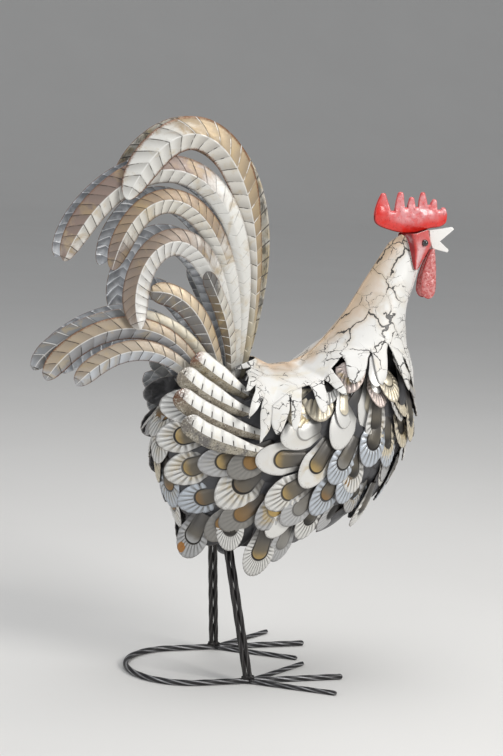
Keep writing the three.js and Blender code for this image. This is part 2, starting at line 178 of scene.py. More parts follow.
@dataclass(frozen=True)
class Envelope:
    """The feathered body as a stack of elliptical sections."""

    sections: tuple[Section, ...]

    def section(self, z: float) -> Section:
        """Section at a height, between the stated ones."""
        rows = self.sections
        for low, high in zip(rows, rows[1:]):
            if z <= high.z or high is rows[-1]:
                share = min(1.0, max(0.0, (z - low.z) / (high.z - low.z)))
                return Section(
                    z,
                    lerp(low.back, high.back, share),
                    lerp(low.front, high.front, share),
                    lerp(low.half, high.half, share),
                )
        return rows[-1]

    def half_width(self, x: float, z: float) -> float:
        """Half width at a point of the side view, or 0 outside it."""
        if not self.sections[0].z <= z <= self.sections[-1].z:
            return 0.0
        at = self.section(z)
        along = (2 * x - at.back - at.front) / (at.front - at.back)
        return at.half * math.sqrt(1 - along * along) if abs(along) < 1 else 0.0

    def on(self, turn: float, z: float, proud: float = 0.0) -> Vector:
        """Point at an angle from the front, in radians, and a height, in millimetres."""
        at = self.section(z)
        centre, half = (at.back + at.front) / 2, (at.front - at.back) / 2
        x = centre + (half + proud) * math.cos(turn)
        return Vector((x, (at.half + proud) * math.sin(turn), z))

    def turn_of(self, x: float, z: float) -> float:
        """Angle from the front of a point of the side view."""
        at = self.section(z)
        along = (2 * x - at.back - at.front) / (at.front - at.back)
        return math.acos(min(0.999, max(-0.999, along)))

    def normal(self, turn: float, z: float) -> Vector:
        """Outward unit direction at an angle and a height."""
        step = 0.02
        across = self.on(turn + step, z) - self.on(turn - step, z)
        upward = self.on(turn, z + 3) - self.on(turn, z - 3)
        return across.cross(upward).normalized()


BREAST = Envelope(
    (
        Section(112, -20, 30, 30),
        Section(130, -50, 62, 52),
        Section(160, -64, 108, 62),
        Section(193, -76, 154, 71),
        Section(222, -90, 180, 77),
        Section(262, -99, 196, 80),
        Section(290, -98, 202, 79),
        Section(312, -88, 192, 72),
        Section(330, -62, 160, 58),
        Section(342, -22, 118, 40),
        Section(350, 22, 72, 12),
    )
)
NECK = Envelope(
    (
        Section(320, 52, 199, 72),
        Section(350, 62, 197, 64),
        Section(363, 78, 193, 56),
        Section(377, 95, 188, 46),
        Section(398, 111, 186, 37),
        Section(418, 125, 187, 30),
        Section(441, 138, 193, 23),
        Section(465, 152, 199, 15.5),
        Section(486, 165, 201, 11.5),
        Section(498, 175, 202, 8),
    )
)


UPPER = Envelope(BREAST.sections[:7] + NECK.sections)  # the front half, breast running into neck


def body_half_width(x: float, z: float) -> float:
    """Half width of breast and neck together, with a soft join between the two."""
    breast, neck, soft = BREAST.half_width(x, z), NECK.half_width(x, z), 8.0
    if min(breast, neck) <= 0:
        return max(breast, neck)
    return (breast + neck + math.sqrt((breast - neck) ** 2 + soft * soft)) / 2


# ---------------------------------------------------------------- node materials
@dataclass(frozen=True)
class Wire:
    """A value on its way through a node material; arithmetic on it adds nodes."""

    shader: "Shader"
    socket: bpy.types.NodeSocket

    def __add__(self, other: object) -> "Wire":
        """Both values together."""
        return self.shader.sum("ADD", self, other)

    def __sub__(self, other: object) -> "Wire":
        """This value less the other."""
        return self.shader.sum("SUBTRACT", self, other)

    def __mul__(self, other: object) -> "Wire":
        """This value times the other."""
        return self.shader.sum("MULTIPLY", self, other)

    def __abs__(self) -> "Wire":
        """This value without its sign."""
        return self.shader.sum("ABSOLUTE", self)

    def step(self, low: float, high: float, start: float = 0.0, end: float = 1.0) -> "Wire":
        """Soft step of the value: start at low, end at high."""
        inputs = {"Value": self, "From Min": low, "From Max": high, "To Min": start, "To Max": end}
        return self.shader.add("MapRange", "Result", inputs, interpolation_type="SMOOTHSTEP")

    def line(self, half_width: float, blur: float) -> "Wire":
        """1 on the lines where the value is a whole number, 0 away from them."""
        return self.shader.sum("PINGPONG", self, 0.5).step(half_width, half_width + blur, 1.0, 0.0)


class Shader:
    """A node material being painted: a ground colour, and coats laid over it."""

    def __init__(self, name: str) -> None:
        self.material = bpy.data.materials.new(name)
        self.material.use_nodes = True
        self.tree = self.material.node_tree
        self.tree.nodes.clear()
        self.surface = self.tree.nodes.new("ShaderNodeBsdfPrincipled")
        output = self.tree.nodes.new("ShaderNodeOutputMaterial")
        self.tree.links.new(self.surface.outputs["BSDF"], output.inputs["Surface"])
        self.position = self.stretched((1, 1, 1))
        self.colour: object = SOOT

    def fill(self, socket: bpy.types.NodeSocket, value: object) -> None:
        """Links a socket to a wire, or writes a plain value on it."""
        if isinstance(value, Wire):
            self.tree.links.new(value.socket, socket)
        elif socket.type == "RGBA":
            socket.default_value = (*value, 1.0)
        else:
            socket.default_value = value

    def add(self, kind: str, output: int | str, inputs: dict[int | str, object], **settings: object) -> Wire:
        """Adds a node.

        Args:
            kind: the node's type, less its ShaderNode.
            output: the output that is wanted.
            inputs: a plain value or a wire for each input.
            settings: the node's own settings.

        Returns:
            A wire from the output.
        """
        node = self.tree.nodes.new("ShaderNode" + kind)
        for name, value in settings.items():
            setattr(node, name, value)
        for name, value in inputs.items():
            self.fill(node.inputs[name], value)
        return Wire(self, node.outputs[output])

    def sum(self, operation: str, a: object, b: object = 0.0) -> Wire:
        """One sum of two numbers."""
        return self.add("Math", 0, {0: a, 1: b}, operation=operation)

    def parts(self, kind: str, whole: Wire) -> list[Wire]:
        """The three numbers in a vector or a colour."""
        node = self.add(kind, 0, {0: whole}).socket.node
        return [Wire(self, socket) for socket in node.outputs]

    def stretched(self, stretch: tuple[float, float, float]) -> Wire:
        """Object coordinates, stretched along each axis."""
        return self.add("Mapping", "Vector", {"Scale": stretch, "Vector": self.add("TexCoord", "Object", {})})

    def pattern(self) -> list[Wire]:
        """The two coordinates of the piece's own UV map."""
        return self.parts("SeparateXYZ", self.add("UVMap", "UV", {}, uv_map="pattern"))[:2]

    def attribute(self, name: str, output: str = "Fac") -> Wire:
        """A number or, as output Color, a colour that the mesh carries."""
        return self.add("Attribute", output, {}, attribute_name=name)

    def noise(
        self, scale: float, detail: float, roughness: float = 0.5, distortion: float = 0.0, at: Optional[Wire] = None
    ) -> Wire:
        """Cloudy pattern from 0 to 1, scale in features a metre."""
        inputs = {"Vector": at or self.position, "Scale": scale, "Detail": detail}
        return self.add("TexNoise", "Fac", {**inputs, "Roughness": roughness, "Distortion": distortion})

    def cell_edge(self, scale: float, wobble: float, reach: float) -> Wire:
        """Distance to the nearest border between random cells.

        Args:
            scale: cells a metre.
            wobble: how fine the noise is that pushes the borders about, in features a metre.
            reach: how far it pushes them, in metres.

        Returns:
            The distance, 0 on a border.
        """
        push = self.add("TexNoise", "Color", {"Vector": self.position, "Scale": wobble, "Detail": 4.0})
        push = self.add("VectorMath", "Vector", {0: push, 1: (0.5, 0.5, 0.5)}, operation="SUBTRACT")
        push = self.add("VectorMath", "Vector", {0: push, "Scale": reach}, operation="SCALE")
        pushed = self.add("VectorMath", "Vector", {0: self.position, 1: push}, operation="ADD")
        return self.add("TexVoronoi", "Distance", {"Vector": pushed, "Scale": scale}, feature="DISTANCE_TO_EDGE")

    def mix(self, share: Wire, a: object, b: object) -> Wire:
        """Colour a given share of the way from a to b."""
        return self.add("Mix", 2, {0: share, 6: a, 7: b}, data_type="RGBA")

    def coat(self, cover: Wire, colour: object) -> None:
        """Lays a colour over what is painted so far, as thickly as cover says."""
        self.colour = self.mix(cover, self.colour, colour)

    def finish(
        self, metallic: float, roughness: object, relief: Optional[tuple[Wire, float, float]] = None, **more: float
    ) -> None:
        """Writes the surface's sockets.

        Args:
            metallic: 0 to 1.
            roughness: 0 to 1, or a wire.
            relief: height, its reach in metres and its strength.
            more: further numbers by socket name, with _ for a space.
        """
        surface = {"Base Color": self.colour, "Metallic": metallic, "Roughness": roughness}
        surface.update((name.replace("_", " "), number) for name, number in more.items())
        if relief:
            height, distance, strength = relief
            inputs = {"Height": height, "Distance": distance, "Strength": strength}
            surface["Normal"] = self.add("Bump", "Normal", inputs)
        for name, value in surface.items():
            self.fill(self.surface.inputs[name], value)


# ---------------------------------------------------------------- finishes
CHALK: Colour = (0.74, 0.73, 0.69)
IVORY: Colour = (0.70, 0.63, 0.48)
TAN: Colour = (0.50, 0.38, 0.24)
RUST: Colour = (0.20, 0.075, 0.025)
SOOT: Colour = (0.018, 0.015, 0.012)
STEEL: Colour = (0.40, 0.41, 0.43)
FOLD_HIGHLIGHT: Colour = (0.76, 0.75, 0.72)  # fold lines that catch the light: a painted highlight
SHADE: Colour = (0.06, 0.05, 0.04)  # dirt in the folds


class Finish:
    """A paint or a bare metal."""

    def build(self, name: str) -> bpy.types.Material:
        """The node material, under a name of its own."""
        paint = Shader(name)
        self.dress(paint)
        return paint.material

    def dress(self, paint: Shader) -> None:
        """Lays the finish's coats."""
        raise NotImplementedError


@dataclass(frozen=True)
class TwistedIron(Finish):
    """Dark twisted bar with a painted highlight along the crests of the twist."""

    dark: Colour = (0.030, 0.029, 0.030)
    bright: Colour = (0.40, 0.40, 0.41)
    fleck: Colour = (0.10, 0.045, 0.025)

    def dress(self, paint: Shader) -> None:
        """Lays the coats; "crest" on the mesh is 1 on the crests and 0 in the grooves."""
        cloud, fine = paint.noise(40, 4, 0.6), paint.noise(700, 3, 0.65)
        paint.colour = self.dark
        # a painted highlight on the twist's crests, broken up by a cloud
        paint.coat(paint.attribute("crest").step(0.55, 1.0) * cloud.step(0.35, 0.6, 0.35, 1.0), self.bright)
        paint.coat(fine.step(0.62, 0.74, 0.0, 0.4), self.fleck)
        paint.finish(0.55, fine.step(0.3, 0.7, 0.30, 0.48), (fine, 0.0002, 0.4))


@dataclass(frozen=True)
class ShellSteel(Finish):
    """Dull dark sheet, a little rusty."""

    dark: Colour = (0.050, 0.050, 0.053)
    light: Colour = (0.15, 0.15, 0.155)

    def dress(self, paint: Shader) -> None:
        """Lays the coats."""
        cloud, fine = paint.noise(60, 4, 0.6, 0.5), paint.noise(500, 3, 0.6)
        paint.colour = self.dark
        paint.coat(cloud.step(0.35, 0.65), self.light)
        paint.coat(fine.step(0.62, 0.74, 0.0, 0.5), RUST)
        paint.finish(0.40, cloud.step(0.3, 0.7, 0.36, 0.52), (fine, 0.0003, 0.3))


@dataclass(frozen=True)
class BareSteel(Finish):
    """Back of the cut sheets: grey-blue steel, with painted shade across each fold's facet and a painted highlight on
    the folds.
    """

    dark: Colour = (0.26, 0.27, 0.29)
    light: Colour = (0.68, 0.70, 0.73)
    fold: Colour = (0.80, 0.81, 0.82)

    def dress(self, paint: Shader) -> None:
        """Lays the coats; the fold lines come from the blade's UV map."""
        _, phase = paint.pattern()
        cloud, grain = paint.noise(55, 4, 0.6, 0.6), paint.noise(700, 3)
        paint.colour = self.dark
        # the lighter coat ramps up across each facet: painted shade and light on the facets, under a cloudy mottle
        paint.coat(cloud.step(0.30, 0.62) * paint.sum("FRACT", phase).step(0.0, 1.0, 0.25, 1.1), self.light)
        # bright fold lines: a painted highlight
        paint.coat(phase.line(0.03, 0.03), self.fold)
        paint.finish(0.30, grain.step(0.2, 0.8, 0.30, 0.46), (grain, 0.0002, 0.3))


@dataclass(frozen=True)
class PlumePaint(Finish):
    """Distressed paint of one plume: a colour to each flange, fold lines that are dark or carry a painted highlight, a
    painted shadow across each fold, a paler ridge line (painted highlight and partly worn paint), rusty edges.
    """

    outer: Colour
    inner: Colour
    root: Colour
    tip: Colour
    root_share: float  # the root colour reaches this far along
    tip_share: float  # the tip colour starts here
    rust: float  # how much the edges are rusted
    speckle: float  # how much bare dark metal shows through
    outer_folds: Colour = SHADE
    inner_folds: Colour = SHADE
    shadow: Colour = (0.15, 0.13, 0.11)
    stain: Colour = (0.50, 0.37, 0.17)
    fleck: Colour = (0.10, 0.085, 0.07)
    ridge: Colour = (0.82, 0.81, 0.78)

    def dress(self, paint: Shader) -> None:
        """Lays the coats; the blade's UV map gives the share across and the folds along."""
        across, phase = paint.pattern()
        along = paint.attribute("along")
        cloud, fine = paint.noise(42, 5, 0.62, 0.8), paint.noise(520, 4, 0.72)
        ridge_side = across.step(0.49, 0.51)
        edge = abs(across - 0.5)
        drift = along + (cloud - 0.5) * 0.3
        grown = drift.step(self.root_share, self.root_share + 0.18)
        at_tip = drift.step(self.tip_share, self.tip_share + 0.10)
        paint.colour = paint.mix(grown, self.root, paint.mix(ridge_side, self.outer, self.inner))
        paint.coat(at_tip, self.tip)
        paint.coat(paint.sum("FRACT", phase).step(0.0, 0.9, 0.38, 0.0) * grown, self.shadow)
        paint.coat(cloud.step(0.50, 0.68) * 0.40, self.stain)
        rust = (edge + (fine - 0.5) * 0.20).step(0.40, 0.50) * self.rust
        paint.coat(rust * grown.step(0.0, 1.0, 0.25, 1.0), RUST)
        near_tip = along.step(0.72, 1.0, 0.5, 1.7) * cloud.step(0.35, 0.6)
        paint.coat(fine.step(0.60, 0.69) * self.speckle * near_tip, self.fleck)
        # paler line along the ridge: a painted highlight, partly worn paint
        paint.coat(edge.step(0.010, 0.030, 0.7, 0.0) * grown, self.ridge)
        # fold lines: dark dirt on some flanges, a pale painted highlight on others
        broken = paint.noise(130, 2).step(0.40, 0.56, 0.15, 0.95)
        folds = phase.line(0.022, 0.025) * broken * grown.step(0.0, 1.0, 0.35, 1.0)
        fold_colour = paint.mix(grown, SHADE, paint.mix(ridge_side, self.outer_folds, self.inner_folds))
        paint.coat(folds, paint.mix(at_tip, fold_colour, SHADE))
        paint.finish(0.22, fine.step(0.3, 0.7, 0.32, 0.50), (fine, 0.0003, 0.4))


@dataclass(frozen=True)
class BarkPaint(Finish):
    """Whitish paint worn to grey streaks that run along the plume."""

    white: Colour = (0.60, 0.58, 0.52)
    stain: Colour = (0.46, 0.38, 0.24)
    streak: Colour = (0.13, 0.12, 0.10)
    fold: Colour = (0.10, 0.09, 0.08)

    def dress(self, paint: Shader) -> None:
        """Lays the coats; the fold lines come from the blade's UV map."""
        _, phase = paint.pattern()
        streak = paint.noise(240, 5, 0.65, 0.6, paint.stretched((1.0, 1.0, 0.22)))
        paint.colour = self.white
        paint.coat(paint.noise(45, 4, 0.6, 0.5).step(0.40, 0.65), self.stain)
        paint.coat(streak.step(0.50, 0.60, 0.0, 0.8), self.streak)
        paint.coat(phase.line(0.03, 0.04), self.fold)
        paint.finish(0.15, 0.48, (streak, 0.0006, 0.5))


@dataclass(frozen=True)
class WingPaint(Finish):
    """White upper flange with short dark ticks, mottled brown-grey lower flange."""

    lower: Colour
    tip: Colour
    mottle: tuple[Colour, Colour, Colour] = ((0.42, 0.38, 0.30), (0.07, 0.06, 0.05), (0.62, 0.59, 0.53))
    tick: Colour = (0.05, 0.04, 0.035)
    edge: Colour = (0.22, 0.17, 0.12)

    def dress(self, paint: Shader) -> None:
        """Lays the coats; the blade's UV map gives the share across and the ticks along."""
        across, phase = paint.pattern()
        cloud, fine = paint.noise(70, 5, 0.65, 0.8), paint.noise(520, 4, 0.72)
        upper = paint.mix(cloud.step(0.52, 0.8, 0.0, 0.6), CHALK, IVORY)
        paint.colour = self.lower
        covers = (cloud.step(0.35, 0.65), fine.step(0.52, 0.66), fine.step(0.40, 0.34))
        for cover, colour in zip(covers, self.mottle):
            paint.coat(cover, colour)
        paint.colour = paint.mix(across.step(0.495, 0.515), upper, paint.colour)
        paint.coat(paint.attribute("along").step(0.80, 0.97) * fine.step(0.35, 0.55), self.tip)
        tick = phase.line(0.035, 0.035) * across.step(0.24, 0.30) * across.step(0.49, 0.505, 1.0, 0.0)
        paint.coat(tick, self.tick)
        paint.coat(across.step(0.0, 0.03, 0.7, 0.0), self.edge)
        paint.finish(0.15, fine.step(0.3, 0.7, 0.34, 0.52), (fine, 0.0003, 0.45))


@dataclass(frozen=True)
class FeatherPaint(Finish):
    """Stamped body feather, with painted shade in its flute valleys and towards its root; its tones and its amount of
    fluting come from the mesh.
    """

    valley: Colour = (0.17, 0.165, 0.155)
    gold: Colour = (0.52, 0.36, 0.10)
    grime: Colour = (0.14, 0.10, 0.085)
    eye_shadow: Colour = (0.12, 0.09, 0.05)
    smoke: Colour = (0.13, 0.115, 0.09)
    edge: Colour = (0.16, 0.13, 0.11)
    # painted shade near the root, under the feather above
    root: Colour = (0.09, 0.085, 0.08)
    spot: Colour = (0.42, 0.19, 0.05)

    def dress(self, paint: Shader) -> None:
        """Lays the coats.

        The feather's UV map gives the flute and the share of the way to the rim; its colours "rim", "eye" and
        "look" (flutes, ring, gold) and its numbers "root" and "spot" give the rest.

        Args:
            paint: the material to lay them in.
        """
        flute, out = paint.pattern()
        fluted, ring, gold = paint.parts("SeparateColor", paint.attribute("look", "Color"))
        fine, cloud = paint.noise(620, 4, 0.72), paint.noise(75, 4, 0.6, 0.5)
        paint.colour = paint.attribute("rim", "Color")
        # darker in the flute valleys: painted shade
        valley = (paint.sum("PINGPONG", flute, 0.5) * 2.0).step(0.25, 0.85, 0.0, 0.88)
        outward = out.step(EYE_EDGE + 0.03, 0.40) * out.step(0.45, 1.0, 1.0, 0.40)
        paint.coat(valley * fluted * outward, self.valley)
        paint.coat(cloud.step(0.42, 0.62) * gold * out.step(0.50, 0.95, 1.0, 0.10), self.gold)
        paint.coat(fine.step(0.54, 0.66) * out.step(0.74, 1.0) * 0.7, self.grime)
        paint.coat(out.step(EYE_EDGE, EYE_EDGE + 0.18, 0.35, 0.0) * ring, self.eye_shadow)
        # the eye turns smoky towards the root and the root end darkens: painted shade under the feather above
        root = paint.attribute("root") + cloud * 0.10
        smoke = root.step(0.42, 0.62, 0.10, 0.95) * ring.step(0.5, 0.7)
        eye = paint.mix(smoke, paint.attribute("eye", "Color"), self.smoke)
        paint.coat(out.step(EYE_EDGE - 0.015, EYE_EDGE, 1.0, 0.0) * ring.step(0.05, 0.2), eye)
        paint.coat(abs(out - (EYE_EDGE + 0.01)).step(0.030, 0.055, 1.0, 0.0) * ring, SOOT)
        paint.coat(out.step(0.97, 1.0, 0.0, 0.7), self.edge)
        paint.coat(root.step(0.58, 0.86, 0.0, 0.85), self.root)
        paint.coat(paint.attribute("spot").step(-0.06, 0.06), self.spot)
        paint.finish(0.30, fine.step(0.3, 0.7, 0.28, 0.46), (fine, 0.0002, 0.35))


@dataclass(frozen=True)
class CracklePaint(Finish):
    """White paint cracked in plates, boldly on the neck and finely below it, with a tan patina along the back."""

    white: Colour = (0.76, 0.75, 0.72)
    tan: Colour = (0.62, 0.44, 0.28)
    crack: Colour = (0.030, 0.028, 0.027)

    def dress(self, paint: Shader) -> None:
        """Lays the coats; "fall" on the mesh is the share of the way from the back line to the fringe."""
        on_neck = paint.parts("SeparateXYZ", paint.position)[2].step(0.352, 0.385)
        fall = paint.attribute("fall")
        cloud, fine = paint.noise(34, 4, 0.6, 0.6), paint.noise(650, 3, 0.6)
        bold, thin = paint.cell_edge(25, 60, 0.020), paint.cell_edge(62, 130, 0.009)
        bold_gate = paint.noise(26, 2, 0.5, 1.0).step(0.42, 0.62, 0.002, 0.022) * on_neck.step(0.0, 1.0, 0.35, 1.0)
        thin_gate = paint.noise(19, 2, 0.5, 1.0).step(0.47, 0.60, 0.0, 0.034) * on_neck.step(0.0, 1.0, 1.25, 0.45)
        bold_lines, thin_lines = paint.sum("LESS_THAN", bold, bold_gate), paint.sum("LESS_THAN", thin, thin_gate)
        cracks = paint.sum("MAXIMUM", bold_lines, thin_lines)
        paint.colour = self.white
        paint.coat(cloud.step(0.52, 0.74, 0.0, 0.5), IVORY)
        paint.coat((fall + (cloud - 0.5) * 0.45).step(0.06, 0.50, 0.85, 0.0), self.tan)
        paint.coat(bold.step(0.02, 0.12, 0.35, 0.0) * fall.step(0.3, 0.9, 1.0, 0.2), TAN)
        paint.coat(cracks * 0.94, self.crack)
        paint.finish(0.0, fine.step(0.3, 0.7, 0.36, 0.5), (fine * 0.15 - cracks, 0.0006, 0.8))


@dataclass(frozen=True)
class RedEnamel(Finish):
    """Hammered red enamel, glossy, with a painted pink highlight on its high spots."""

    red: Colour = (0.70, 0.020, 0.012)
    pink: Colour = (0.74, 0.30, 0.31)
    dark: Colour = (0.20, 0.010, 0.012)
    hammer: float = 150.0  # dents a metre
    mottle: float = 0.5  # how unevenly the painted highlight lies

    def dress(self, paint: Shader) -> None:
        """Lays the coats; a number on the mesh says where a pink highlight is painted, and below 0 where the enamel is
        darkened.
        """
        worn = paint.attribute("worn")
        dents, fine = paint.noise(self.hammer, 2, 0.5, 0.3), paint.noise(self.hammer * 3.2, 3, 0.6)
        paint.colour = self.red
        paint.coat(worn.step(-1.0, 0.0, 1.0, 0.0), self.dark)
        # pink where the number is above 0: a painted highlight, broken up by the dents
        paint.coat(paint.sum("MAXIMUM", worn, 0.0) * dents.step(0.36, 0.62, 1.0 - self.mottle, 1.0), self.pink)
        paint.coat(fine.step(0.56, 0.70, 0.0, 0.45), self.dark)
        paint.finish(0.0, 0.27, (dents, 0.0014, 0.5), Coat_Weight=0.5, Coat_Roughness=0.15)


@dataclass(frozen=True)
class BeakPaint(Finish):
    """White satin paint with grey wear."""

    white: Colour = (0.84, 0.83, 0.80)
    wear: Colour = (0.42, 0.36, 0.30)

    def dress(self, paint: Shader) -> None:
        """Lays the coats."""
        paint.colour = self.white
        paint.coat(paint.noise(260, 4, 0.7).step(0.60, 0.74, 0.0, 0.6), self.wear)
        paint.finish(0.0, 0.38, (paint.noise(500, 3), 0.0003, 0.4))


@dataclass(frozen=True)
class BlackBead(Finish):
    """Black glass-like bead."""

    black: Colour = (0.004, 0.004, 0.005)
    haze: Colour = (0.012, 0.011, 0.011)

    def dress(self, paint: Shader) -> None:
        """Lays the coats."""
        paint.colour = self.black
        paint.coat(paint.noise(400, 2), self.haze)
        paint.finish(0.0, 0.05, IOR=1.8)


@dataclass(frozen=True)
class StudioFloor(Finish):
    """Plain pale floor."""

    pale: Colour = (0.74, 0.73, 0.71)
    haze: Colour = (0.78, 0.77, 0.75)

    def dress(self, paint: Shader) -> None:
        """Lays the coats."""
        paint.colour = self.pale
        paint.coat(paint.noise(3, 2), self.haze)
        paint.finish(0.0, 0.85)


# ---------------------------------------------------------------- pieces
def plain_pattern(u: float, v: float) -> tuple[float, float]:
    """UV map that is a grid's own u and v."""
    return u, v


def everywhere(u: float, v: float) -> float:
    """Number that is 1 over a whole grid."""
    return 1.0


class Piece:
    """One object of the bird while its mesh is being made."""

    def __init__(self, name: str) -> None:
        self.name = name
        self.mesh = bmesh.new()
        self.uv = self.mesh.loops.layers.uv.new("pattern")

    def grid(
        self,
        columns: int,
        rows: int,
        place: Place,
        pattern: Pattern = plain_pattern,
        flip: bool = False,
        colours: Optional[dict[str, Colour]] = None,
        **numbers: Number,
    ) -> None:
        """Lays a grid of faces over a surface.

        Args:
            columns: faces along u.
            rows: faces along v.
            place: the surface, from u and v in 0 to 1 to a point in metres.
            pattern: the UV map, from u and v.
            flip: turns the faces round.
            colours: one colour for the whole grid on each colour layer.
            numbers: a function of u and v for each number layer.
        """
        fills = [("float", name, value) for name, value in numbers.items()]
        for name, colour in (colours or {}).items():
            fills.append(("float_color", name, lambda u, v, c=colour: (*c, 1.0)))
        for kind, name, _ in fills:
            layers = getattr(self.mesh.verts.layers, kind)
            layers.get(name) or layers.new(name)
        made = bmesh.ops.create_grid(self.mesh, x_segments=columns, y_segments=rows, size=0.5)["verts"]
        spots = {vert: (vert.co.x + 0.5, vert.co.y + 0.5) for vert in made}
        values = [(getattr(self.mesh.verts.layers, kind)[name], value) for kind, name, value in fills]
        faces = {face for vert in made for face in vert.link_faces}
        for face in faces:
            for loop in face.loops:
                loop[self.uv].uv = pattern(*spots[loop.vert])
            face.smooth = True
        for vert, spot in spots.items():
            vert.co = place(*spot)
            for layer, value in values:
                vert[layer] = value(*spot)
        if flip:
            bmesh.ops.reverse_faces(self.mesh, faces=list(faces))

    def weld(self, distance: float = 0.02) -> None:
        """Joins vertices that meet, distance in millimetres."""
        bmesh.ops.remove_doubles(self.mesh, verts=self.mesh.verts, dist=distance * MM)

    def sharpen(self, degrees: float) -> None:
        """Keeps folds above an angle crisp."""
        for edge in self.mesh.edges:
            edge.smooth = edge.calc_face_angle(0.0) < math.radians(degrees)

    def close(self) -> None:
        """Fills open ends and turns every face outward, on a piece that is a closed body."""
        open_edges = [edge for edge in self.mesh.edges if edge.is_boundary]
        if open_edges:
            bmesh.ops.holes_fill(self.mesh, edges=open_edges, sides=0)
        bmesh.ops.recalc_face_normals(self.mesh, faces=self.mesh.faces)

    def make(self, *materials: bpy.types.Material) -> bpy.types.Object:
        """The Blender object, in the scene."""
        data = bpy.data.meshes.new(self.name)
        self.mesh.to_mesh(data)
        self.mesh.free()
        for material in materials:
            data.materials.append(material)
        piece = bpy.data.objects.new(self.name, data)
        bpy.context.scene.collection.objects.link(piece)
        return piece

    def finish(
        self, slot: str, node: str, materials: list[bpy.types.Material], sheet: Optional[float] = None
    ) -> bpy.types.Object:
        """Makes the Blender object and hangs it on the frame.

        Args:
            slot: the record's material slot; not used.
            node: CAD node that the piece stands for.
            materials: the piece's materials, the back of a sheet second.
            sheet: thickness of a sheet in millimetres, or None on a closed body.

        Returns:
            The finished object.
        """
        piece = self.make(*materials)
        if sheet is not None:
            solidify = piece.modifiers.new("sheet", "SOLIDIFY")
            solidify.thickness = sheet * MM
            solidify.offset = 0.0
            solidify.material_offset = len(materials) - 1
        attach(piece, "root")
        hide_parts(node)
        log.info("%s: %d faces", self.name, len(piece.data.polygons))
        return piece


